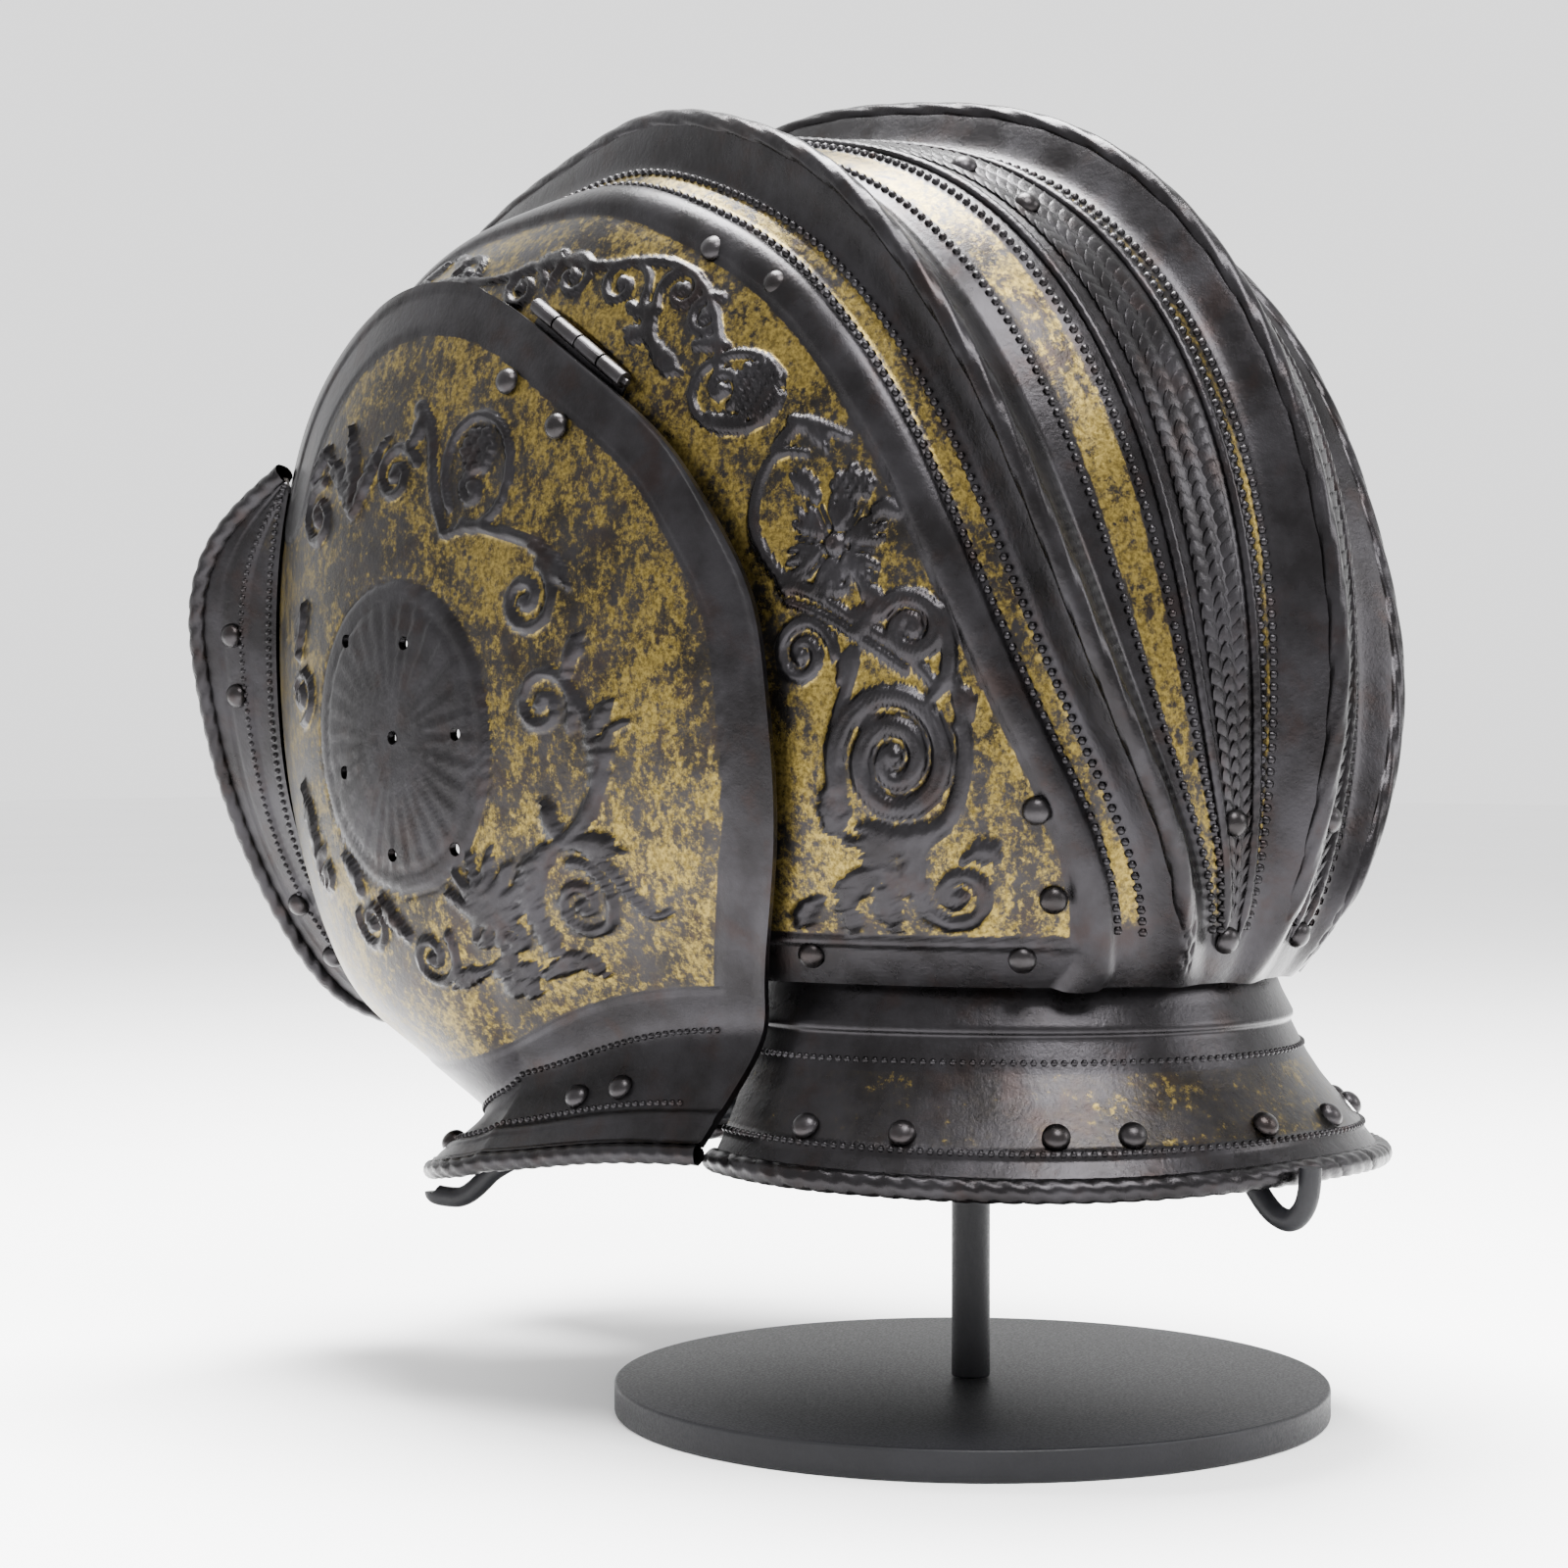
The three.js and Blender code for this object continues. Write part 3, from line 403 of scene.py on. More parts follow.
# ---- relief drawn on a plate
class Relief:
    """Height field in mm over the vertices of a plate, drawn with tapering round strokes."""

    def __init__(self, points):
        self.p = points.reshape(-1, 3)
        self.h = np.zeros(len(self.p))
        self.shape = points.shape[:2]

    def frame_at(self, centre, normal, reach):
        """Flat coordinates (rearward, upward) round a place, for the vertices near it."""
        n = unit(normal)
        e1 = unit(np.cross(UP, n))
        e2 = np.cross(n, e1)
        d = self.p - centre
        near = np.nonzero(np.sum(d * d, axis=1) < reach * reach)[0]
        return near, np.stack([d[near] @ e1, d[near] @ e2], axis=-1)

    def stroke(self, near, xy, pts, widths, height, vein=0.0):
        pts = np.asarray(pts, float)
        widths = np.interp(np.linspace(0, 1, len(pts)), np.linspace(0, 1, len(widths)), widths)
        lo, hi = pts.min(0) - widths.max(), pts.max(0) + widths.max()
        pick = np.all((xy > lo) & (xy < hi), axis=1)
        if not pick.any():
            return
        q, best = xy[pick], np.full(pick.sum(), 9.0)
        for a, b, wa, wb in zip(pts[:-1], pts[1:], widths[:-1], widths[1:]):
            ab = b - a
            t = np.clip((q - a) @ ab / max(ab @ ab, 1e-6), 0, 1)
            d = np.linalg.norm(q - a - t[:, None] * ab, axis=1)
            best = np.minimum(best, d / np.maximum(wa + (wb - wa) * t, 0.15))
        h = height * np.sqrt(np.clip(1 - best**2, 0, 1)) * (1 - vein * np.exp(-(best / 0.28)**2))
        at = near[pick]
        self.h[at] = np.maximum(self.h[at], h)

    def draw(self, centre, normal, reach, marks):
        near, xy = self.frame_at(np.asarray(centre, float), np.asarray(normal, float), reach)
        for pts, widths, height, vein in marks:
            self.stroke(near, xy, pts, widths, height, vein)

    def along(self, pts, widths, height, vein=0.25):
        """Stroke through points that lie on the plate."""
        pts = np.asarray(pts, float)
        widths = np.interp(np.linspace(0, 1, len(pts)), np.linspace(0, 1, len(widths)), widths)
        lo, hi = pts.min(0) - 4, pts.max(0) + 4
        near = np.nonzero(np.all((self.p > lo) & (self.p < hi), axis=1))[0]
        self.stroke(near, self.p[near], pts, widths, height, vein)

    def field(self):
        return self.h.reshape(self.shape)


def polar(c, r, a):
    return [c[0] + r * math.cos(math.radians(a)), c[1] + r * math.sin(math.radians(a))]


def spiral(c, r0, a0, turns, w0=1.5, w1=0.8, height=1.5, r1=1.2, squash=1.0):
    """Scroll from its outer end inwards; positive turns run counter-clockwise. Ends in a knob."""
    n = int(abs(turns) * 22) + 4
    pts = []
    for i in range(n):
        t = i / (n - 1)
        r = r0 + (r1 - r0) * t**0.85
        p = polar((0, 0), r, a0 + 360 * turns * t)
        pts.append([c[0] + p[0] * squash, c[1] + p[1]])
    knob = [pts[-1], [c[0] + 0.01, c[1]]]
    return [(pts, [w0, w0, w1], height, 0.3), (knob, [1.5, 1.5], height * 1.1, 0)]


def arc_stroke(pts, w, height=1.4, vein=0.3, n=16):
    f = path_through(pts)
    return (f(np.linspace(0, 1, n)), w, height, vein)


def leaf(root, angle, length, width, lobes=4, bend=30, height=1.5):
    """Curling leaf: a bent midrib with tapering lobes on both sides."""
    marks, pts = [], []
    a, p = angle, np.array(root, float)
    steps = lobes + 2
    for i in range(steps + 1):
        pts.append(p.copy())
        p = p + np.array(polar((0, 0), length / steps, a))
        a += bend / steps
    marks.append((pts, [1.5, 1.2, 0.5], height, 0.4))
    for i in range(1, lobes + 1):
        size = width * math.sin(math.pi * (i + 0.6) / (lobes + 1.8))
        here = angle + bend * i / steps
        for side in (-1, 1):
            mid = polar(pts[i], size * 0.55, here + side * 38)
            tip = polar(mid, size * 0.55, here + side * 12)
            marks.append(([pts[i], mid, tip], [1.1, 1.3, 0.4], height * 0.85, 0.35))
    return marks


def grapes(c, rx, ry, r=1.25, height=1.9):
    marks = []
    for j in range(-3, 4):
        for i in range(-3, 4):
            x, y = (i + 0.5 * (j % 2)) * r * 1.8, j * r * 1.6
            if (x / rx)**2 + (y / ry)**2 <= 1:
                q = [c[0] + x, c[1] + y]
                marks.append(([q, [q[0] + 0.01, q[1]]], [r, r], height, 0))
    return marks


def flower(c, r, petals, turn=0, height=1.7):
    marks = []
    for i in range(petals):
        a = turn + 360 * i / petals
        for off, size, w in ((-13, 0.92, 1.2), (13, 0.92, 1.2), (0, 1.0, 1.6)):
            marks.append(([polar(c, r * 0.3, a + off * 0.4), polar(c, r * 0.65, a + off * 1.15),
                           polar(c, r * size, a + off)], [0.9, w, 0.5], height * 0.9, 0.35))
        marks.append(([polar(c, r * 0.36, a + 180 / petals), polar(c, r * 0.75, a + 180 / petals)],
                      [0.7, 0.4], height * 0.7, 0))
    marks.append(([c, [c[0] + 0.01, c[1]]], [r * 0.22, r * 0.22], height * 1.15, 0.5))
    return marks


def ring(c, rx, ry, w=1.0, height=1.2, a0=0, sweep=350):
    pts = [[c[0] + rx * math.cos(math.radians(a0 + sweep * i / 24)),
            c[1] + ry * math.sin(math.radians(a0 + sweep * i / 24))] for i in range(25)]
    return [(pts, [w, w], height, 0.3)]


# ---- materials
def material(name):
    mat = bpy.data.materials.new(name)
    mat.use_nodes = True
    nt = mat.node_tree
    return mat, nt, nt.nodes["Principled BSDF"]


def noise(nt, scale, detail=6.0, rough=0.6, stretch=(1, 1, 1), offset=(0, 0, 0)):
    co = nt.nodes.new("ShaderNodeTexCoord")
    mp = nt.nodes.new("ShaderNodeMapping")
    mp.inputs["Scale"].default_value = stretch
    mp.inputs["Location"].default_value = offset
    tx = nt.nodes.new("ShaderNodeTexNoise")
    tx.inputs["Scale"].default_value = scale
    tx.inputs["Detail"].default_value = detail
    tx.inputs["Roughness"].default_value = rough
    nt.links.new(co.outputs["Object"], mp.inputs["Vector"])
    nt.links.new(mp.outputs["Vector"], tx.inputs["Vector"])
    return tx.outputs["Fac"]


def remap(nt, value, lo, hi, out_lo=0.0, out_hi=1.0, soft=True):
    m = nt.nodes.new("ShaderNodeMapRange")
    if soft:
        m.interpolation_type = "SMOOTHSTEP"
    nt.links.new(value, m.inputs["Value"])
    for key, v in (("From Min", lo), ("From Max", hi), ("To Min", out_lo), ("To Max", out_hi)):
        m.inputs[key].default_value = v
    return m.outputs["Result"]


def math_node(nt, op, a, b=None):
    m = nt.nodes.new("ShaderNodeMath")
    m.operation = op
    for i, v in enumerate((a, b)):
        if isinstance(v, (int, float)):
            m.inputs[i].default_value = v
        elif v is not None:
            nt.links.new(v, m.inputs[i])
    return m.outputs[0]


def mix_colours(nt, fac, a, b):
    m = nt.nodes.new("ShaderNodeMix")
    m.data_type = "RGBA"
    nt.links.new(fac, m.inputs[0])
    for i, v in ((6, a), (7, b)):
        if isinstance(v, tuple):
            m.inputs[i].default_value = (*v, 1)
        else:
            nt.links.new(v, m.inputs[i])
    return m.outputs[2]


def bump(nt, value, strength, distance, normal=None):
    b = nt.nodes.new("ShaderNodeBump")
    b.inputs["Strength"].default_value = strength
    b.inputs["Distance"].default_value = distance
    nt.links.new(value, b.inputs["Height"])
    if normal is not None:
        nt.links.new(normal, b.inputs["Normal"])
    return b.outputs["Normal"]


def steel(name, gilt, dark, light, rough=0.36, wear=0.5):
    """Dark russet steel, with worn gilding where the gold attribute says."""
    mat, nt, p = material(name)
    p.inputs["Metallic"].default_value = 0.92
    cloud = noise(nt, 55, 7, 0.62)
    fine = noise(nt, 900, 5, 0.7)
    streak = noise(nt, 420, 4, 0.6, (1, 0.7, 0.35))
    colour = mix_colours(nt, remap(nt, cloud, 0.3, 0.72), dark, light)
    brown = remap(nt, noise(nt, 90, 6, 0.6, offset=(3, 1, 2)), 0.5, 0.7, 0.0, 0.4)
    colour = mix_colours(nt, brown, colour, (0.016, 0.0085, 0.0065))
    roughness = remap(nt, cloud, 0.3, 0.7, rough - 0.03, rough + 0.06)
    if gilt:
        at = nt.nodes.new("ShaderNodeAttribute")
        at.attribute_name = "gold"
        patch = noise(nt, 42, 8, 0.66, offset=(1, 4, 2))
        speck = noise(nt, 480, 6, 0.78, offset=(2, 0, 1))
        grain = math_node(nt, "ADD", math_node(nt, "MULTIPLY", patch, 0.38),
                          math_node(nt, "ADD", math_node(nt, "MULTIPLY", speck, 0.4),
                                    math_node(nt, "MULTIPLY", streak, 0.22)))
        there = math_node(nt, "MULTIPLY", at.outputs["Fac"], 0.4)
        left = remap(nt, math_node(nt, "ADD", grain, there), wear + 0.372, wear + 0.462)
        # a thin film of gold stays between the whole patches
        film = math_node(nt, "MULTIPLY", remap(nt, grain, 0.42, 0.62, 0.02, 0.30),
                         remap(nt, at.outputs["Fac"], 0.7, 1.0))
        mask = math_node(nt, "MULTIPLY", math_node(nt, "MAXIMUM", left, film),
                         remap(nt, at.outputs["Fac"], 0.02, 0.2))
        tint = mix_colours(nt, remap(nt, fine, 0.35, 0.65), (0.058, 0.041, 0.0095), (0.165, 0.120, 0.031))
        colour = mix_colours(nt, mask, colour, tint)
        roughness = math_node(nt, "ADD", roughness, math_node(nt, "MULTIPLY", mask, 0.04))
    nt.links.new(colour, p.inputs["Base Color"])
    nt.links.new(roughness, p.inputs["Roughness"])
    n = bump(nt, fine, 0.24, 0.0004)
    nt.links.new(bump(nt, noise(nt, 210, 4, 0.55, offset=(0, 2, 5)), 0.13, 0.0009, n), p.inputs["Normal"])
    return mat


def paint(name, colour, rough):
    mat, nt, p = material(name)
    fine = noise(nt, 1400, 3, 0.6)
    nt.links.new(mix_colours(nt, remap(nt, noise(nt, 30, 5), 0.35, 0.65), colour,
                             tuple(c * 1.5 for c in colour)), p.inputs["Base Color"])
    nt.links.new(remap(nt, fine, 0.3, 0.7, rough - 0.06, rough + 0.08), p.inputs["Roughness"])
    p.inputs["Specular IOR Level"].default_value = 0.22
    nt.links.new(bump(nt, fine, 0.2, 0.0003), p.inputs["Normal"])
    return mat


DARK, LIGHT = (0.0095, 0.0086, 0.009), (0.021, 0.0198, 0.0218)
PLATE = steel("gilt_steel", True, DARK, LIGHT, 0.27, 0.475)
CHEEK_PLATE = steel("gilt_steel_worn", True, DARK, LIGHT, 0.30, 0.495)
PLAIN = steel("dark_steel", False, DARK, LIGHT, 0.25)
BRIGHT = steel("rivet_steel", False, (0.014, 0.0125, 0.0125), (0.030, 0.028, 0.030), 0.29)
STAND = paint("satin_black", (0.004, 0.004, 0.005), 0.5)


def finish(obj, body, mat, slot, replaced=()):
    obj.data.materials.clear()
    obj.data.materials.append(mat)
    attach(obj, body)
    if replaced:
        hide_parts(*replaced)
    return obj


def piece(base, side, body, mat, slot, replaced=()):
    """Finish for one side of a mirrored pair."""
    who = body if body == "helmet" else f"{body}_{side}"
    return finish(base, who, mat, slot, tuple(r.replace("SIDE", side) for r in replaced))


# ---- skull
def hinge_ends():
    out = []
    for y, z in ((-62, 281), (-29, 260)):
        th = math.degrees(math.atan2(z - SKULL_Z, y - SKULL_Y))
        psi = fan_at_radius(np.array(th), math.hypot(y - SKULL_Y, z - SKULL_Z))
        out.append(skull_point(np.array(th), psi) + skull_normal(np.array(th), psi) * 3.3)
    return np.array(out)


HINGE = hinge_ends()


def hinge_slot(points):
    """Depth of the slot that the hinge barrel lies in."""
    ax = HINGE[1] - HINGE[0]
    t = ((points - HINGE[0]) @ ax) / (ax @ ax)
    d = np.linalg.norm(points - HINGE[0] - np.clip(t, -0.01, 1.01)[..., None] * ax, axis=-1)
    return 3.0 * (1 - smooth(2.6, 3.4, d))


def skull_grid(n, m):
    """Angles of the half skull's vertices: rows from the brow to the waist, columns from the median out."""
    v = np.linspace(0, 1, m)
    split = 0.42

    def psi_of(th):
        fan, grade, _, base = comb_lines(th)
        edge = np.maximum(fan_at_radius(th, edge_radius(th)), fan + base / grade + 4)
        return np.where(v < split, fan * v / split, fan + (edge - fan) * (v - split) / (1 - split))
    front = bisect(lambda th: skull_point(th, psi_of(th))[..., 2] - BROW_Z, v * 0 + 176, v * 0 + 120)
    rear = bisect(lambda th: skull_point(th, psi_of(th))[..., 2] - SEAM_Z, v * 0 - 89, v * 0 - 10)
    rows = []
    for i in range(n):
        th = front + (rear - front) * i / (n - 1)
        rows.append(np.stack([th, psi_of(th)], axis=-1))
    g = np.array(rows)
    return g[..., 0], g[..., 1]


def skull_place(th, psi):
    th, psi = np.array(float(th)), np.array(float(psi))
    return skull_point(th, psi), skull_normal(th, psi)


def skull_scrolls(r):
    """Leafy scrollwork of the side fields."""
    def at(th, psi, reach, marks):
        p, n = skull_place(th, psi)
        r.draw(p, n, reach, marks)

    def stem(places, widths=(1.4, 1.4), height=1.4):
        f = path_through(places)
        q = f(np.linspace(0, 1, 30))
        r.along(skull_point(q[:, 0], q[:, 1]), widths, height)
    # large coil low on the field, with its outer stem and leaves
    at(-22.5, 53.4, 30, spiral((0, 0), 18, 200, -2.4, 2.5, 1.5, 2.1, 1.4, 0.86)
       + leaf((-15, -4), 250, 16, 5, 4, 70) + leaf((6, -17), 200, 17, 6, 4, -60)
       + leaf((-9, 12), 320, 9, 4, 3, -70) + leaf((15, 8), 60, 9, 4, 3, 50))
    at(-31, 50.5, 26, leaf((8, 2), 205, 24, 6, 5, -35, 1.7) + leaf((4, -2), 235, 15, 5, 3, 30))
    at(-29.5, 59, 18, leaf((2, 2), 250, 13, 5, 3, 60))
    # lowest coil and the leaves beside the border
    at(-34.8, 43.8, 20, spiral((0, 0), 9.5, 165, 1.5, 1.7, 1.0, 1.6)
       + leaf((2, 9), 35, 9, 4, 3, -90) + leaf((-9, 3), 100, 10, 3, 2, 20))
    at(-41, 52.5, 22, leaf((8, 4), 205, 17, 6, 4, 35) + leaf((9, 2), 250, 15, 5, 3, 45))
    at(-48, 51.5, 15, leaf((-2, 4), 220, 10, 4, 3, 30) + leaf((5, 3), 290, 8, 3, 2, -40))
    # curled beast-like scroll at the rib
    at(-3.5, 52.4, 22, spiral((0, 0), 8.5, 150, -1.55, 2.3, 1.1, 2.0)
       + [arc_stroke([(-8.5, 4), (-11, 1), (-14, -1), (-17, 1)], [1.6, 1.3, 0.6], 1.7)]
       + leaf((-9, 3), 165, 6, 3, 2, 60)
       + [arc_stroke([(7, 4), (9, -4), (8, -12), (4, -17)], [2.2, 2.0, 1.2], 1.9)])
    stem([(4, 64.5), (1, 61), (-3, 57.5), (-7, 53), (-11, 50)], (0.9, 1.5, 1.4))
    stem([(1, 65), (-2, 61), (-6, 57), (-9.5, 53)], (0.8, 1.3, 1.2))
    stem([(-10, 48), (-16, 46.8), (-23, 46.6), (-29, 48), (-33, 50.5), (-37, 53)], (1.5, 1.9, 1.8, 1.2))
    # upper small coil with its leaf
    at(-9.8, 63.5, 18, spiral((0, 0), 9.2, 0, 1.7, 1.5, 1.0, 1.6, 1.2, 0.9)
       + leaf((10, -6), 75, 9, 3.5, 3, -30))
    stem([(-24, 60), (-19, 59.5), (-14, 58.8), (-9.5, 58.2)], (1.3, 1.6, 1.3))
    # great flower with fruit on its crown
    at(12.5, 58.6, 24, flower((-1, -2), 13, 6, 20, 2.0) + grapes((3, 12), 4.6, 4.2)
       + leaf((-6, 9), 115, 9, 4, 3, 60)
       + leaf((9, 6), 20, 7, 4, 3, -50) + leaf((-9, -9), 200, 7, 4, 3, 40) + leaf((6, -11), 300, 7, 4, 3, 30))
    stem([(29, 59), (31.8, 61.5), (25, 66), (16, 67), (9, 66), (4, 63.5), (3, 59)], (0.9, 1.5, 1.6, 1.3))
    stem([(28, 54.5), (31, 56), (34.5, 58.5), (33, 61.5)], (0.8, 1.6, 1.7))
    at(31, 57.5, 14, leaf((-6, 4), 350, 13, 3.5, 3, -75, 1.7))
    # fruit in a ring
    at(48.5, 61, 22, ring((0, 0), 12.5, 9.5, 1.2, 1.5, 20, 330) + grapes((6, 0), 6.5, 7.5)
       + spiral((-4, 1), 5.5, 300, 1.1, 1.3, 0.9, 1.6) + leaf((-7, -6), 335, 12, 4, 4, 35, 1.9))
    # smaller coils up to the brow
    at(64, 56, 16, spiral((0, 0), 6, 60, 1.4, 1.2, 0.8, 1.4) + leaf((-2, -7), 10, 10, 3, 3, -40))
    at(72, 54, 18, spiral((0, 0), 7.5, 200, -1.4, 1.2, 0.8, 1.3) + leaf((-7, -4), 250, 10, 4, 3, 40))
    at(74, 59.5, 18, leaf((0, 0), 300, 15, 4.5, 4, 40) + leaf((0, 2), 200, 9, 4, 3, -50))
    at(85.4, 54.3, 18, spiral((0, 0), 9, 330, 1.35, 1.2, 0.8, 1.3) + leaf((4, -6), 330, 10, 4, 3, 50))
    at(97, 53, 18, spiral((0, 0), 8, 200, -1.5, 1.2, 0.8, 1.3) + leaf((-6, 5), 160, 9, 4, 3, 40))
    at(109, 52, 18, spiral((0, 0), 8, 10, 1.5, 1.2, 0.8, 1.3) + leaf((5, 5), 40, 9, 4, 3, -40))
    at(122, 46, 18, spiral((0, 0), 8, 200, -1.5, 1.2, 0.8, 1.3) + leaf((-5, 4), 140, 9, 4, 3, 40))
    at(135, 40, 18, spiral((0, 0), 8, 10, 1.5, 1.2, 0.8, 1.3) + leaf((5, 5), 60, 9, 4, 3, -40))
    stem([(128, 44), (116, 49), (103, 50), (91, 52), (79, 51), (68, 53), (60, 57), (54, 61)], (1.0, 1.3, 1.2))


def build_skull():
    n, m = int(428 * FINE) // 4 * 4 + 1, int(200 * FINE) // 4 * 4 + 1
    th, psi = skull_grid(n, m)
    p, nrm = skull_point(th, psi), skull_normal(th, psi)
    fan, grade, grade0, base = comb_lines(th)
    d0, d1 = psi * grade0, (psi - fan) * grade
    x = np.abs(p[..., 0])
    u = (x - base) / np.maximum(comb_x(th) - 2 * base, 1)
    inside = psi < fan
    s = th * 2.44
    fade = smooth(122, 134, p[..., 2])

    def crest(d):
        q = np.clip(d / base, 0, 1)
        return 0.5 + 0.5 * np.cos(np.pi * q**0.93)
    h = comb_height(th) * np.maximum(crest(d0), crest(np.abs(d1)))
    comb = h.copy()
    # between the combs: sunk gold strips
    h += np.where(inside, -0.5 * (band(u, 0.76, 0.97, 0.03) + band(u, 0.02, 0.10, 0.02)) * fade, 0)
    # outside the side comb: a strip, then a smooth rib, then the scroll field
    h += np.where(~inside, -0.5 * band(d1, 11, 16, 0.5) * fade, 0)
    h += np.where(~inside, bump_round(d1 - 22.3, 4.6, 2.0), 0)
    field = np.where(inside, 0, smooth(27.2, 28.4, d1) * smooth(126.2, 127.4, p[..., 2]))
    r = Relief(p)
    skull_scrolls(r)
    scroll = r.field() * field
    h += scroll * 1.1 - 0.55 * field
    h += np.where(~inside & (d1 > 26), bump_round(p[..., 2] - 125.4, 1.0, 0.5), 0)
    slot_depth = hinge_slot(p)
    # fissures at the rear ends of the side combs, as the old metal shows
    h += -0.8 * np.exp(-((d1 + 1.2 + 1.5 * np.sin(s * 1.3)) / 0.45)**2) * band(th, -33, -27, 1.0)
    outer = p + nrm * (h - slot_depth)[..., None]
    lift = np.maximum(comb - 1, 0) * 0.85
    inner = p + nrm * (lift - SKULL_WALL - slot_depth * 0.9)[..., None]
    clear = 1 - smooth(0.12, 0.5, scroll)
    gold = field * clear
    strips = np.where(inside, band(u, 0.765, 0.97, 0.02) + band(u, 0.02, 0.105, 0.015),
                      band(d1, 10.6, 16.4, 0.3))
    gold = np.clip(gold + strips * smooth(124, 131, p[..., 2]), 0, 1)
    b = plate(outer, inner, inner[::INNER_STEP, ::INNER_STEP], gold, False)
    both_sides("skull", b, lambda o, side: piece(o, side, "helmet", PLATE, "gilt_steel", ("skull",)))


build_skull()


def skull_path(psi_of, lo=-36, hi=160, lift=0.0, z_min=126.5):
    """Points and normals along the skull, kept between the waist and the brow."""
    th = np.linspace(lo, hi, 400)
    psi = psi_of(th)
    p, n = skull_point(th, psi), skull_normal(th, psi)
    keep = (p[:, 2] > z_min) & ((th < 90) | (p[:, 2] > BROW_Z + 2))
    lift = lift(th) if callable(lift) else lift
    p = p + n * np.broadcast_to(lift, th.shape)[:, None]
    return p[keep], n[keep]


def leaf_band(b):
    """Three overlapping rows of small pointed leaves between the notched ribs."""
    mid, nrm = skull_path(lambda th: between_combs(th, 0.42), z_min=127)
    half = (skull_path(lambda th: between_combs(th, 0.545), z_min=0)[0]
            - skull_path(lambda th: between_combs(th, 0.295), z_min=0)[0]) / 2
    half = half[-len(mid):]
    ahead = unit(np.gradient(mid, axis=0))
    s = np.concatenate([[0], np.cumsum(np.linalg.norm(np.diff(mid, axis=0), axis=1))])
    u = np.array([0, 0.22, 0.5, 0.78, 1])[:, None, None]
    v = np.array([-1, 0, 1])[None, :, None]
    width = np.array([0.5, 0.95, 1.0, 0.62, 0.02])[:, None, None]
    for row, start in ((-0.62, 0.0), (0.62, 0.0), (0.0, 1.9)):
        for at in np.arange(start + 2, s[-1] - 6, 3.8):
            p, n, w, t = (np.array([np.interp(at, s, line[:, j]) for j in range(3)])
                          for line in (mid, nrm, half, ahead))
            size = np.linalg.norm(w)
            turn = unit(t + unit(w) * row * 0.75)
            across = np.cross(turn, n)
            lift = 0.1 + 0.85 * u - 0.45 * v * v
            b.grid(p + w * row + turn * u * (2.4 + size * 0.7) + across * v * width * size * 0.4
                   + n * lift * min(1, size / 3))


def crest_rope(b, psi_of):
    """Shallow slanting cuts along the top of a comb, dying out at its rear foot."""
    p, n = skull_path(psi_of, lo=-34, lift=lambda th: comb_height(th) - 1.9, z_min=122)
    b.grid(rope(p, n, 2.8 * smooth(118, 138, p[:, 2]) + 0.1, 16, 5, 24, 0.13))


def build_skull_trim():
    b = Build()
    leaf_band(b)
    for psi_of in (lambda th: between_combs(th, 0.005), lambda th: between_combs(th, 0.115),
                   lambda th: between_combs(th, 0.745), lambda th: between_combs(th, 0.985),
                   lambda th: beside_comb(th, 10.3), lambda th: beside_comb(th, 16.9)):
        p, n = skull_path(psi_of)
        beads(b, p, n, 2.9, 1.2, 1.0)
    for u in (0.19, 0.655):
        p, n = skull_path(lambda th: between_combs(th, u), z_min=124)
        b.grid(rope(p, n, 1.5 * smooth(122, 134, p[:, 2]), 3.4, 2, 10, 0.22))
    crest_rope(b, lambda th: fan_at_x(th, comb_x(th)))
    both_sides("skull_trim", b, lambda o, side: piece(o, side, "helmet", PLAIN, "gilt_steel"))
    c = Build()
    crest_rope(c, lambda th: th * 0 + 0.001)
    # turned and roped edge over the face
    th, psi = skull_grid(5, 60)
    front = skull_point(th[0], psi[0])
    side = front[::-1] * [-1, 1, 1]
    edge = np.concatenate([side[:-1], front])
    c.grid(rope(edge, np.broadcast_to(-UP, edge.shape), 1.5, 4, 3, 10, 0.2))
    finish(c.done("skull_crest_and_brow"), "helmet", PLAIN, "gilt_steel")


build_skull_trim()


# ---- cheek-pieces
ROSETTE = (-102, 174)
HOLES = [(0, 0), (5, 24), (24, 1), (21, -28), (-3, -30), (-22, -9), (-20, 25)]
HOLE_RADIUS = 1.75


def cheek_place(y, z):
    tau, k = cheek_at(np.array([float(y)]), np.array([float(z)]))
    return cheek_point(tau, k)[0], cheek_normal(tau, k)[0]


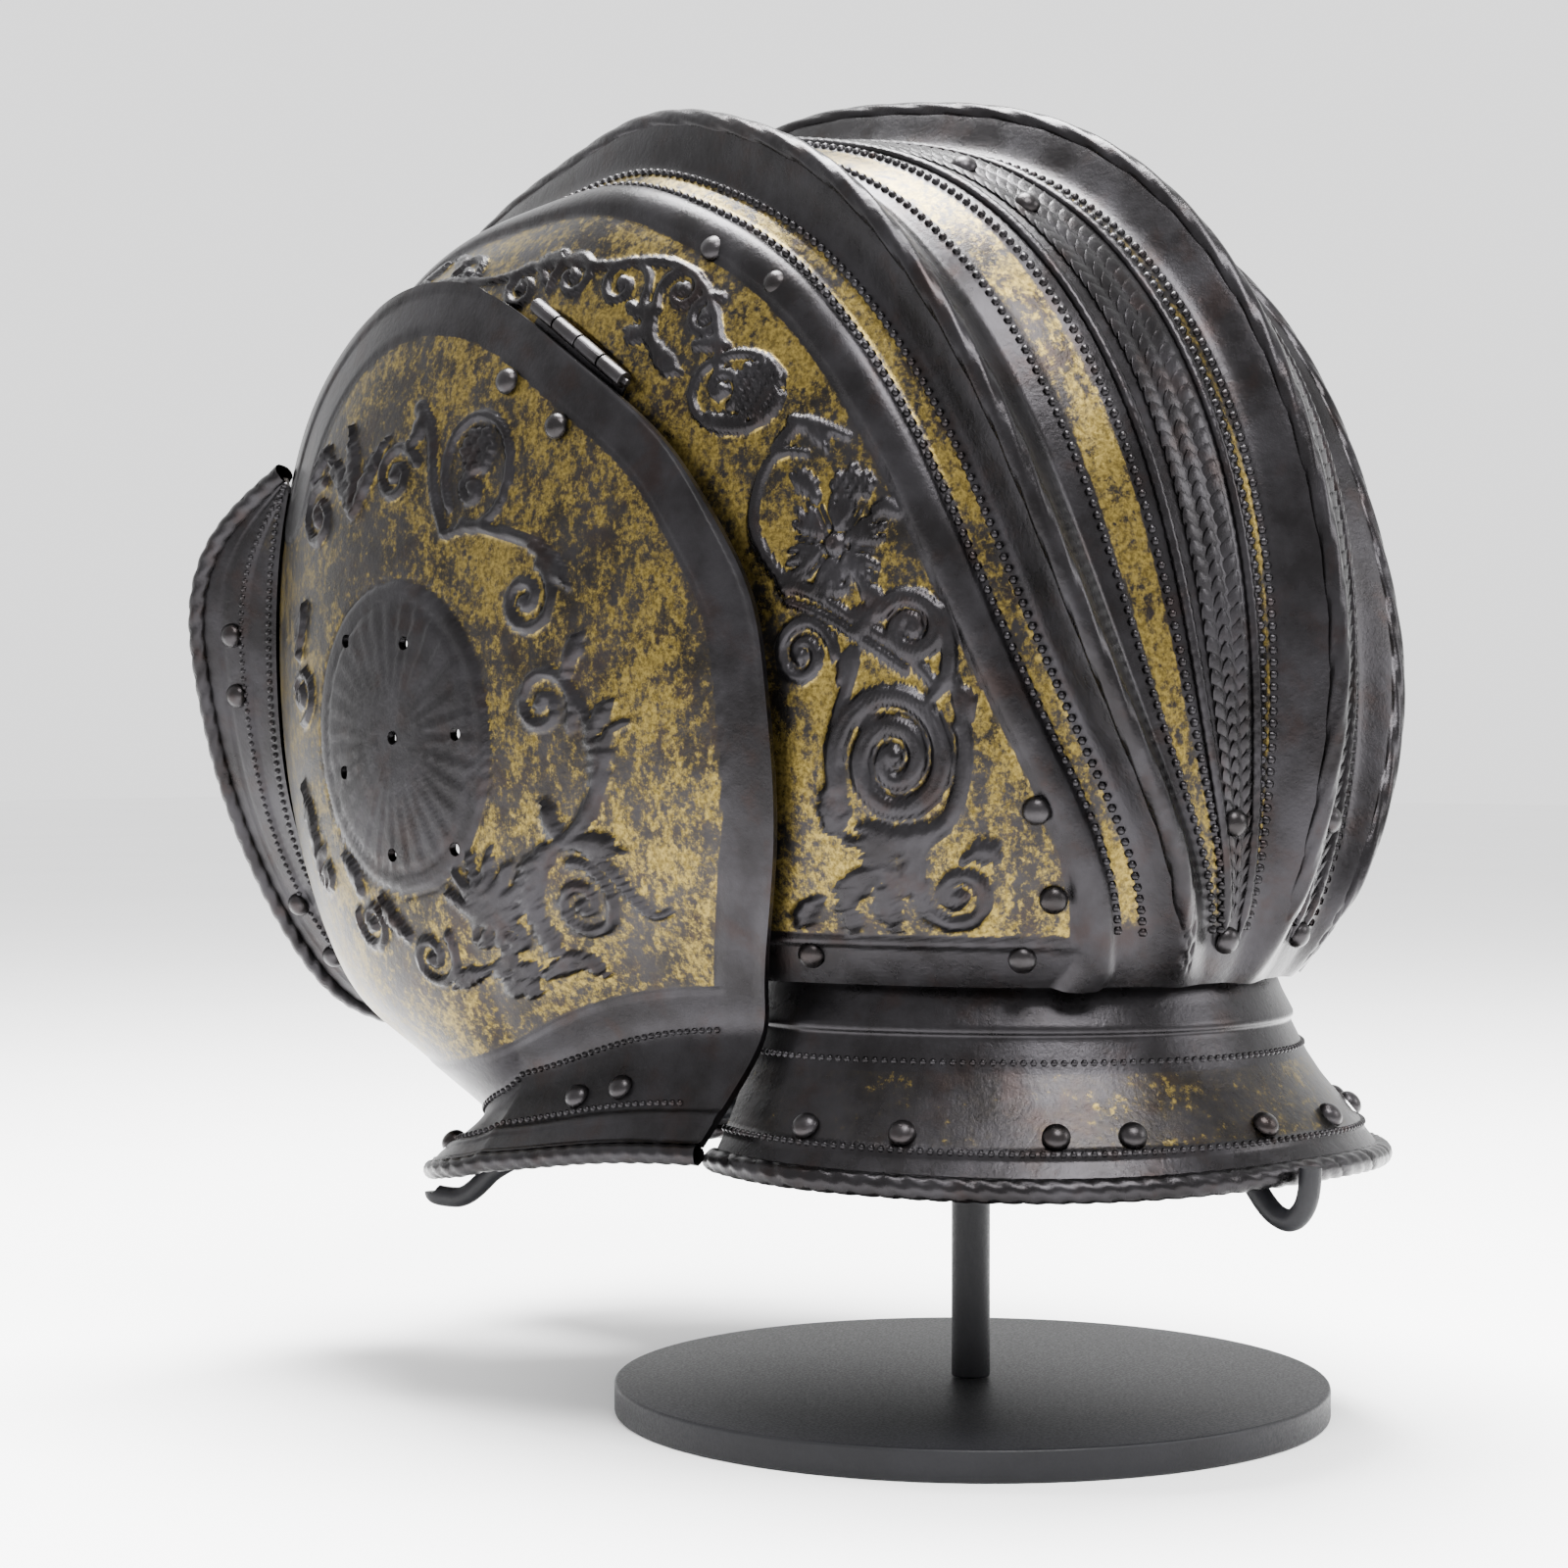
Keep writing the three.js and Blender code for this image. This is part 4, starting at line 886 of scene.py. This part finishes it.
def cheek_scrolls(r):
    def at(y, z, reach, marks):
        p, n = cheek_place(y, z)
        r.draw(p, n, reach, marks)

    def stem(places, widths=(1.2, 1.2), height=1.1):
        f = path_through(places)
        q = f(np.linspace(0, 1, 26))
        tau, k = cheek_at(q[:, 0], q[:, 1])
        r.along(cheek_point(tau, k), widths, height, 0.35)
    # rear scroll: coil, stem and its leaves
    at(-48.5, 182, 26, spiral((0, 0), 10.5, 330, 1.55, 1.3, 0.9, 1.2)
       + leaf((8, 8), 75, 11, 4, 3, -35) + leaf((15, -9), 72, 13, 4, 3, -45))
    stem([(-46, 148.5), (-39, 153), (-33.5, 160), (-30.5, 169), (-30, 173)], (1.0, 2.4, 1.6), 1.4)
    stem([(-33.5, 163), (-33, 172), (-36, 181), (-40, 186)], (1.3, 1.3))
    stem([(-30, 168), (-27, 176), (-22, 178)], (1.7, 0.7), 1.3)
    # acanthus at the foot of the stem
    at(-46, 146, 34, leaf((0, 2), 205, 26, 8, 5, 75, 1.6) + leaf((0, 2), 120, 12, 4, 3, -20)
       + leaf((2, 2), 5, 17, 5, 4, -25) + leaf((-12, -10), 275, 22, 5, 4, 25, 1.4))
    at(-42.5, 133, 24, spiral((0, 0), 11, 100, -1.7, 1.4, 0.9, 1.3))
    stem([(-38, 146), (-31, 140), (-26, 133), (-22, 130.5), (-18, 132)], (1.4, 1.3, 0.8))
    # shell palmette and the little flower under it
    lobes = [arc_stroke([(0, -2), polar((0, 0), 9, a), polar((0, 0), 19 - abs(a - 100) * 0.06, a - 4)],
                        [0.8, 2.2, 0.8], 1.4, 0.35) for a in range(20, 181, 23)]
    at(-72, 128, 34, lobes
       + spiral((-3, -4), 6, 330, 1.2, 1.2, 0.8, 1.3) + spiral((6, -5), 5, 200, -1.2, 1.1, 0.8, 1.3)
       + flower((3, -15), 7.5, 5, 90, 1.4) + leaf((-6, -14), 190, 13, 4, 3, 30))
    at(-56, 118, 28, leaf((-4, -4), 35, 12, 3.5, 3, -50) + leaf((4, 2), 350, 12, 3.5, 3, -50))
    # middle scroll with its pod leaf
    at(-54, 208, 22, spiral((0, 0), 9.6, 65, -1.6, 1.5, 1.0, 1.2) + leaf((2, 13), 330, 16, 4.5, 4, -25, 1.5))
    stem([(-84, 225), (-76, 226.5), (-66, 225.5), (-55, 223), (-50, 221)], (1.1, 1.2, 1.5))
    # ringed scrolls and the fan leaf toward the face
    at(-73.5, 241, 24, ring((0, 0), 11.5, 14, 1.2, 1.2, 250, 330) + grapes((0, 5), 6.5, 5, 1.4, 1.4)
       + spiral((-1, -5), 4.5, 90, 1.1, 1.1, 0.8, 1.2))
    stem([(-84, 226), (-88, 234), (-90, 243), (-92, 252), (-97, 258)], (1.2, 1.4, 2.0))
    at(-104, 241, 20, spiral((0, 0), 8.5, 20, 1.5, 1.3, 0.9, 1.2) + leaf((5, 8), 50, 9, 3.5, 3, 40))
    at(-122, 246, 30, leaf((0, -14), 98, 24, 5, 4, 10) + leaf((-2, -12), 125, 20, 4.5, 3, 25)
       + leaf((2, -12), 65, 20, 4.5, 3, -20))
    at(-140, 232, 24, spiral((0, 0), 9.5, 80, 1.5, 1.3, 0.9, 1.2) + leaf((-6, 10), 60, 12, 4, 3, -30))
    # low scrolls toward the chin
    at(-95, 118, 26, spiral((0, 0), 9, 40, -1.5, 1.3, 0.8, 1.2) + leaf((-8, 5), 150, 14, 4, 4, -35))
    at(-118, 126, 26, spiral((0, 0), 8, 160, 1.4, 1.2, 0.8, 1.2) + leaf((-4, 8), 110, 12, 4, 3, 40))
    at(-146, 150, 24, leaf((0, -10), 95, 22, 5, 4, 20) + spiral((5, -12), 6, 90, 1.3, 1.1, 0.8, 1.2))
    at(-150, 192, 26, spiral((2, -6), 8, 270, 1.4, 1.2, 0.8, 1.2) + leaf((0, 4), 85, 14, 4, 3, -30))


def edge_distance(y, z, curve, n=160):
    pts = curve(np.linspace(0, 1, n))
    best = np.full(y.shape, 99.0)
    for a, b in zip(pts[:-1:2], pts[2::2]):
        ab = b - a
        t = np.clip(((y - a[0]) * ab[0] + (z - a[1]) * ab[1]) / (ab @ ab), 0, 1)
        best = np.minimum(best, np.hypot(y - a[0] - t * ab[0], z - a[1] - t * ab[1]))
    return best


def open_holes(grid, axes, centres, ring_step):
    """Moves a square ring of vertices round each hole on to its circle; returns the faces to keep."""
    keep = np.ones((grid.shape[0] - 1, grid.shape[1] - 1), bool)
    for (c, n), (e1, e2) in zip(centres, axes):
        d = grid - c
        away = np.abs(d @ n)
        flat = np.stack([d @ e1, d @ e2], axis=-1)
        i0, j0 = np.unravel_index(np.argmin(np.linalg.norm(flat, axis=-1) + (away > 9) * 99), flat.shape[:2])
        for q in (ring_step, ring_step + 1):
            for i in range(-q, q + 1):
                for j in range(-q, q + 1):
                    if max(abs(i), abs(j)) != q:
                        continue
                    f = flat[i0 + i, j0 + j]
                    far = np.linalg.norm(f)
                    want = HOLE_RADIUS if q == ring_step else max(far, HOLE_RADIUS * 1.35)
                    f2 = f / max(far, 1e-6) * want
                    grid[i0 + i, j0 + j] += e1 * (f2 - f)[0] + e2 * (f2 - f)[1]
        keep[i0 - ring_step:i0 + ring_step, j0 - ring_step:j0 + ring_step] = False
    return keep


def build_cheek():
    n, m = int(246 * FINE) // 4 * 4 + 1, int(296 * FINE) // 4 * 4 + 1
    s, t = np.linspace(0, 1, n), np.linspace(0, 1, m)
    tau, k = cheek_chart(s, t)
    p, nrm = cheek_point(tau, k), cheek_normal(tau, k)
    y, z = p[..., 1], p[..., 2]
    border = np.minimum(edge_distance(y, z, top_edge), edge_distance(y, z, rear_edge))
    h = -0.35 * np.exp(-((border - 12.6) / 0.55)**2)
    h += bump_round(border - 0.4, 1.6, 0.5)
    # rosette: a plain ring round a fan of engraved lines
    ry, rz = y - ROSETTE[0], z - ROSETTE[1]
    e = np.hypot(ry / 35, rz / 40)
    turn = (np.degrees(np.arctan2(rz, ry * 1.14)) / 360) * 30
    fan = 0.34 * (turn - np.floor(turn)) * smooth(0.08, 0.3, e) * (1 - smooth(0.82, 0.87, e))
    disc = (1 - smooth(0.985, 1.0, e)) * (p[..., 0] > 70)
    h += disc * (0.35 + fan) - 0.5 * np.exp(-((e - 1.0) / 0.016)**2) * (p[..., 0] > 70)
    h -= disc * 0.35 * np.exp(-((e - 0.86) / 0.012)**2)
    # ground of the relief, its lower border line and the neck flange's steps
    low = spline([-135, -110, -87, -65, -39, -12, 5], [88, 88, 92.5, 101.5, 109.5, 112.5, 113])(y)
    field = smooth(12.9, 13.8, border) * smooth(0, 1.2, z - low) * (1 - disc)
    front = 1 - s[:, None]
    face = smooth(0.012, 0.03, front + 0 * t[None, :])
    h -= 0.4 * np.exp(-((z - low) / 0.6)**2) * (border > 12)
    r = Relief(p)
    cheek_scrolls(r)
    scroll = r.field() * field
    h += scroll * 1.35 - 0.4 * field
    h += bump_round((k - 1.35) * 9, 1.2, 0.5) + 0.5 * (1 - smooth(0.5, 0.62, k))
    cut = hinge_slot(p)
    outer = p + nrm * (h - cut)[..., None]
    inner = p + nrm * (-CHEEK_WALL - cut * 0.2)[..., None]
    places = [cheek_place(ROSETTE[0] + dy, ROSETTE[1] + dz) for dy, dz in HOLES]
    axes = []
    for c, nn in places:
        e1 = unit(np.cross(UP, nn))
        axes.append((e1, np.cross(nn, e1)))
    keep = open_holes(outer, axes, places, 2)
    coarse = inner[::INNER_STEP, ::INNER_STEP].copy()
    keep_inner = open_holes(coarse, axes, places, 1)
    gold = field * face * (1 - smooth(0.1, 0.4, scroll))
    b = plate(outer, inner, coarse, gold, True, keep, keep_inner)
    # walls of the holes
    a = np.linspace(0, 2 * np.pi, 25)
    for (c, nn), (e1, e2) in zip(places, axes):
        circle = (e1[None] * np.cos(a)[:, None] + e2[None] * np.sin(a)[:, None]) * HOLE_RADIUS
        b.grid(np.stack([c + nn * 0.5 + circle, c - nn * (CHEEK_WALL + 0.3) + circle]), None, False)
    both_sides("cheek_plate", b, lambda o, side: piece(o, side, "cheek_piece", CHEEK_PLATE, "gilt_steel",
                                                 ("cheek_SIDE",)))


build_cheek()


def cheek_row(level_of, count=240, lo=0.0, hi=1.0):
    """Points and normals along the cheek-piece at a level that may vary along it."""
    s = np.linspace(lo, hi, count)
    tau, k = cheek_chart(s, np.linspace(0, 1, 60))
    pts, nrm = [], []
    for i in range(count):
        tt = np.interp(level_of(s[i]), k[i], tau[i])
        pts.append(cheek_point(tt, np.array(level_of(s[i]))))
        nrm.append(cheek_normal(tt, np.array(level_of(s[i]))))
    return np.array(pts), np.array(nrm)


def flange_frame(t):
    """Root, edge, across and outward directions of the face flange, chin (0) to temple (1)."""
    k = (FRONT_LEVEL[0] + 0.25) * (1 - t) + FRONT_LEVEL[-1] * t
    root = cheek_point(front_angle(k) - 1.2, k)
    edge = flange_edge(t)
    across = unit(edge - root)
    along = unit(np.gradient(edge, axis=0))
    out = unit(np.cross(across, along))
    return root, edge, across, out * np.where(out[:, :1] < 0, -1, 1)


def build_cheek_trim():
    b = Build()
    # face flange
    n, m = int(230 * FINE), 26
    t = np.linspace(0, 1, n)
    root, edge, across, out = flange_frame(t)
    f = np.linspace(0, 1, m)
    line = root[:, None] * (1 - f[None, :, None]) + (edge - across * 1.5)[:, None] * f[None, :, None]
    width = np.linalg.norm(edge - root, axis=1)[:, None]
    d = f[None, :] * width
    h = -0.5 * band(d, 3.2, width * 0.42, 0.3) - 0.35 * np.exp(-((d - width * 0.72) / 0.5)**2)
    gold = band(d, 3.4, width * 0.4, 0.3) * smooth(0.6, 0.95, t)[:, None] * 0.9
    top = line + out[:, None] * (FLANGE_HALF + h)[..., None]
    bottom = line - out[:, None] * FLANGE_HALF
    flip = bool(np.sum(np.cross(top[5, 3] - top[4, 3], top[4, 4] - top[4, 3]) * out[4]) < 0)
    b.grid(top, gold, flip)
    b.grid(bottom, None, not flip)
    b.grid(np.stack([top[0], bottom[0]]), None, not flip)
    b.grid(np.stack([top[-1], bottom[-1]]), None, flip)
    b.grid(rope(edge, out, 2.9, 6.2, 3, 16, 0.2))
    for place in (3.0, None):
        at = place if place else width[:, 0] * 0.44
        q = root + across * np.broadcast_to(at, t.shape)[:, None] + out * 0.75
        beads(b, q, out, 2.3, 0.95, 0.8)
    # neck flange: rolled and roped rim, and two beaded lines
    p, nn = cheek_row(lambda s: 0.02)
    down = unit(p - cheek_row(lambda s: 0.5)[0])
    rim = p + down * 2.2 * 0.6 - nn * 0.8
    b.grid(rope(rim, nn, 2.5, 5.4, 3, 14, 0.2))
    for level in (3.1, 1.62):
        p, nn = cheek_row(lambda s: level, 200, 0.035, 0.97)
        beads(b, p + nn * 0.05, nn, 2.3, 0.9, 0.75)
    both_sides("cheek_trim", b, lambda o, side: piece(o, side, "cheek_piece", CHEEK_PLATE, "gilt_steel"))


build_cheek_trim()


# ---- neck guard
def build_guard():
    n, m = int(380 * FINE), int(68 * FINE)
    a, f = np.linspace(-86, 86, n), np.linspace(0, 10, m)
    aa, ff = np.meshgrid(a, f, indexing="ij")
    p = guard_point(aa, ff)
    nrm = normal_of(guard_point, aa, np.clip(ff, 0.35, 9.65), 1)
    h = 0.25 * np.exp(-((ff - 3.4) / 0.22)**2)
    field = band(ff, 5.15, 7.75, 0.08)
    h -= 0.35 * field
    outer = p + nrm * h[..., None]
    away = unit((p - [0, -22, 0]) * [1, 1, 0])
    inner = p - away * (GUARD_WALL * 1.25)
    patch = 0.76 + 0.12 * smooth(-50, 10, -aa)
    b = plate(outer, inner, inner[::INNER_STEP, ::INNER_STEP], field * patch, False)
    fine = np.linspace(-86, 86, 400)
    rim = guard_place(*GUARD_RIM, fine)
    b.grid(np.stack([guard_place(96, 128.6, 74.4, fine), rim], axis=1), None, False)
    b.grid(rope(rim, np.broadcast_to(UP, rim.shape), 2.9, 5.6, 3, 16, 0.2))
    for row in (fine * 0 + 4.95, fine * 0 + 7.95):
        beads(b, guard_point(fine, row), normal_of(guard_point, fine, row, 1), 2.4, 0.95, 0.8)
    finish(b.done("neck_guard_plate"), "helmet", PLATE, "gilt_steel", ("neck_guard",))


build_guard()


# ---- rivets
def clear_selection():
    bpy.ops.object.select_all(action="DESELECT")


def take(name):
    obj = bpy.context.active_object
    obj.name = obj.data.name = name
    bpy.ops.object.transform_apply(location=True, rotation=True, scale=True)
    return obj


def join(name, parts):
    clear_selection()
    for o in parts:
        o.select_set(True)
    bpy.context.view_layer.objects.active = parts[0]
    if len(parts) > 1:
        bpy.ops.object.join()
    return take(name)


def rivet_model():
    """One round head with a slightly flattened crown, base on z = 0."""
    bpy.ops.mesh.primitive_uv_sphere_add(segments=24, ring_count=16, radius=RIVET_RADIUS * MM)
    obj = bpy.context.active_object
    bpy.ops.object.mode_set(mode="EDIT")
    bpy.ops.mesh.select_all(action="SELECT")
    bpy.ops.mesh.bisect(plane_co=(0, 0, 0), plane_no=(0, 0, 1), clear_inner=True, use_fill=True)
    bpy.ops.object.mode_set(mode="OBJECT")
    obj.scale = (1, 1, RIVET_FLATNESS)
    bpy.ops.object.transform_apply(scale=True)
    bpy.ops.object.shade_smooth_by_angle(angle=math.radians(50))
    return obj


RIVET = rivet_model()


def rivets(name, places, body, nodes):
    parts = []
    for p, n in places:
        o = RIVET.copy()
        o.data = RIVET.data.copy()
        bpy.context.collection.objects.link(o)
        o.location = Vector(p * MM) + Vector(n) * 0.15 * MM
        o.rotation_mode = "QUATERNION"
        o.rotation_quaternion = Vector(n).to_track_quat("Z", "Y")
        parts.append(o)
    return finish(join(name, parts), body, BRIGHT, "fittings", nodes)


def flipped(places):
    return [(p * [-1, 1, 1], n * [-1, 1, 1]) for p, n in places]


SKULL_RIVETS = [(71, 48.5), (57, 49.7), (58.5, 18), (48.5, 18.5), (-22.7, 38.5), (-30.8, 34.6), (-38, 34.5),
                (-55, 48.3), (-20, 12), (-30.5, 9)]
GUARD_RIVETS = [71.6, 59.5, 41, 31, 9]
CHEEK_RIVETS = [(-65.6, 262.7), (-47, 250.4), (-41, 87.2), (-55.3, 84), (-106, 68.5)]
FLANGE_RIVETS = [0.71, 0.62, 0.32, 0.235]


def build_rivets():
    head = [skull_place(th, psi) for th, psi in SKULL_RIVETS]
    for a in GUARD_RIVETS:
        p = guard_point(np.array([float(a)]), np.array([7.1]))[0]
        head.append((p, normal_of(guard_point, np.array([float(a)]), np.array([7.1]), 1)[0]))
    plates = [cheek_place(y, z) for y, z in CHEEK_RIVETS]
    for t in FLANGE_RIVETS:
        ts = np.array([t, t + 0.02])
        root, edge, _, _ = flange_frame(ts)
        n = unit(np.cross(edge[0] - root[0], edge[1] - edge[0]))
        n = n * (-1 if n[0] < 0 else 1)
        plates.append((root[0] * 0.45 + edge[0] * 0.55 + n * 0.9, n))
    for side, turn in (("left", lambda q: q), ("right", flipped)):
        def nodes(*groups):
            return [f"rivet_{name}_{i + 1}_{side}" for name, rows in groups for i in range(len(rows))]
        rivets(f"rivets_{side}", turn(head), "helmet",
               nodes(("skull", SKULL_RIVETS), ("guard", GUARD_RIVETS)))
        rivets(f"rivets_cheek_{side}", turn(plates), f"cheek_piece_{side}",
               nodes(("cheek", CHEEK_RIVETS), ("flange", FLANGE_RIVETS)))
    bpy.data.objects.remove(RIVET)


build_rivets()


# ---- hinges
def rod_between(a, b, radius, name, sides=32, bevel=0.2):
    a, b = Vector(a), Vector(b)
    bpy.ops.mesh.primitive_cylinder_add(vertices=sides, radius=radius * MM, depth=(b - a).length * MM,
                                        location=(a + b) / 2 * MM)
    obj = bpy.context.active_object
    obj.rotation_mode = "QUATERNION"
    obj.rotation_quaternion = (b - a).to_track_quat("Z", "Y")
    bpy.ops.object.transform_apply(location=True, rotation=True, scale=True)
    if bevel:
        mod = obj.modifiers.new("edge", "BEVEL")
        mod.width, mod.segments, mod.limit_method = bevel * MM, 3, "ANGLE"
        bpy.ops.object.modifier_apply(modifier=mod.name)
    bpy.ops.object.shade_smooth_by_angle(angle=math.radians(40))
    obj.name = obj.data.name = name
    return obj


def build_hinges():
    for side, sx in (("left", 1), ("right", -1)):
        a, b = HINGE[0] * [sx, 1, 1], HINGE[1] * [sx, 1, 1]

        def at(t):
            return a + (b - a) * t
        for body, which, name in (("helmet", (0, 2), "hinge_fixed"),
                                  (f"cheek_piece_{side}", (1, 3), "hinge_moving")):
            parts = [rod_between(at(i / 4 + 0.008), at((i + 1) / 4 - 0.008), KNUCKLE_RADIUS, "knuckle")
                     for i in which]
            finish(join(f"{name}_{side}", parts), body, BRIGHT, "fittings")
        finish(rod_between(at(-0.03), at(1.03), PIN_RADIUS, f"pin_{side}", 24, 0.15), "helmet", BRIGHT,
               "fittings", (f"hinge_pin_{side}",))
        leaf_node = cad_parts[f"hinge_leaf_{side}"]
        leaf_node.data.materials.clear()
        leaf_node.data.materials.append(PLAIN)


build_hinges()


# ---- stand
def bent_rod(points, radius, name):
    curve = bpy.data.curves.new(name, "CURVE")
    curve.dimensions = "3D"
    line = curve.splines.new("NURBS")
    line.points.add(len(points) - 1)
    for p, q in zip(line.points, points):
        p.co = (*[c * MM for c in q], 1)
    line.order_u, line.use_endpoint_u, line.resolution_u = 3, True, 10
    curve.bevel_depth, curve.bevel_resolution, curve.use_fill_caps = radius * MM, 5, True
    obj = bpy.data.objects.new(name, curve)
    bpy.context.collection.objects.link(obj)
    clear_selection()
    obj.select_set(True)
    bpy.context.view_layer.objects.active = obj
    bpy.ops.object.convert(target="MESH")
    bpy.ops.object.shade_smooth_by_angle(angle=math.radians(45))
    return bpy.context.active_object


def arm(rim, away, drop, tip):
    """Places along an arm from the post to the hook that turns up round the rim."""
    out = unit(np.array(away, float))
    r = 6.2

    def place(a, b):
        return np.array(rim) + out * a + UP * b
    return [out * 1 + UP * ARM_HEIGHT, out * 8 + UP * ARM_HEIGHT, place(-36, 10),
            place(-r - 6, 0), place(-r, -drop + 3), place(-r * 0.3, -drop), place(r * 0.4, -drop),
            place(r * 1.05, -drop + tip * 0.45), place(r * 1.05, -drop + tip)]


def build_stand():
    bpy.ops.mesh.primitive_cylinder_add(vertices=160, radius=DISC_RADIUS * MM, depth=DISC_HEIGHT * MM,
                                        location=(0, 0, DISC_HEIGHT / 2 * MM))
    disc = take("stand_base")
    mod = disc.modifiers.new("edge", "BEVEL")
    mod.width, mod.segments, mod.limit_method = 0.8 * MM, 3, "ANGLE"
    bpy.ops.object.modifier_apply(modifier=mod.name)
    bpy.ops.object.shade_smooth_by_angle(angle=math.radians(40))
    finish(disc, "helmet", STAND, "stand_paint", ("stand_disc",))
    parts = [rod_between((0, 0, DISC_HEIGHT + 0.3), (0, 0, POST_TOP), POST_RADIUS, "post", 48, 0.6)]
    rear = guard_place(*GUARD_RIM, np.array([REAR_HOOK_ANGLE]))[0]
    parts.append(bent_rod(arm(rear, (rear[0] * 0.35, rear[1] + 22, 0), **REAR_HOOK), ARM_RADIUS, "arm"))
    before, rim, after = (cheek_point(np.array(FRONT_HOOK_TAU + d), np.array(0.0)) for d in (-1, 0, 1))
    across = after - before
    for sx in (1, -1):
        away = (sx * abs(across[1]), -abs(across[0]), 0)
        parts.append(bent_rod(arm((sx * rim[0], rim[1], rim[2] - 1), away, **FRONT_HOOK), ARM_RADIUS, "arm"))
    finish(join("stand_cradle_rods", parts), "helmet", STAND, "stand_paint", ("stand_cradle",))


build_stand()


# ---- floor, light and camera
def stage():
    bpy.ops.mesh.primitive_plane_add(size=14, location=(0, 0, 0))
    floor = take("floor")
    mat, nt, p = material("pale_floor")
    tone = mix_colours(nt, remap(nt, noise(nt, 3, 4), 0.3, 0.7), (0.93, 0.93, 0.93), (0.95, 0.95, 0.95))
    nt.links.new(tone, p.inputs["Base Color"])
    p.inputs["Roughness"].default_value = 0.85
    floor.data.materials.append(mat)
    world = bpy.data.worlds.new("studio")
    world.use_nodes = True
    world.node_tree.nodes["Background"].inputs["Color"].default_value = (0.9, 0.9, 0.905, 1)
    world.node_tree.nodes["Background"].inputs["Strength"].default_value = 2.0
    bpy.context.scene.world = world
    # key over the crown and the rear, fill from the camera's side, soft light from the face side
    for name, place, size, power, aim in (
            ("key", (0.35, 0.6, 1.2), 0.5, 34, (0, 0, 0.25)),
            ("top", (-0.1, -0.2, 1.25), 0.6, 110, (0, 0, 0.25)),
            ("rim", (-0.7, 1.1, 0.7), 0.5, 12, (0, 0, 0.25))):
        light = bpy.data.lights.new(name, "AREA")
        light.shape, light.size, light.energy = "SQUARE", size, power
        obj = bpy.data.objects.new(name, light)
        bpy.context.collection.objects.link(obj)
        obj.location = place
        obj.rotation_euler = (Vector(aim) - Vector(place)).to_track_quat("-Z", "Y").to_euler()
    cam = bpy.data.cameras.new("camera")
    cam.lens, cam.sensor_width = 79.6, 36
    obj = bpy.data.objects.new("camera", cam)
    bpy.context.collection.objects.link(obj)
    a = math.radians(128)
    obj.location = (0.9 * math.sin(a), -0.9 * math.cos(a), 0.175)
    aim = Vector((0.0299, -0.0383, 0.162))
    obj.rotation_euler = (aim - obj.location).to_track_quat("-Z", "Y").to_euler()
    bpy.context.scene.camera = obj


stage()
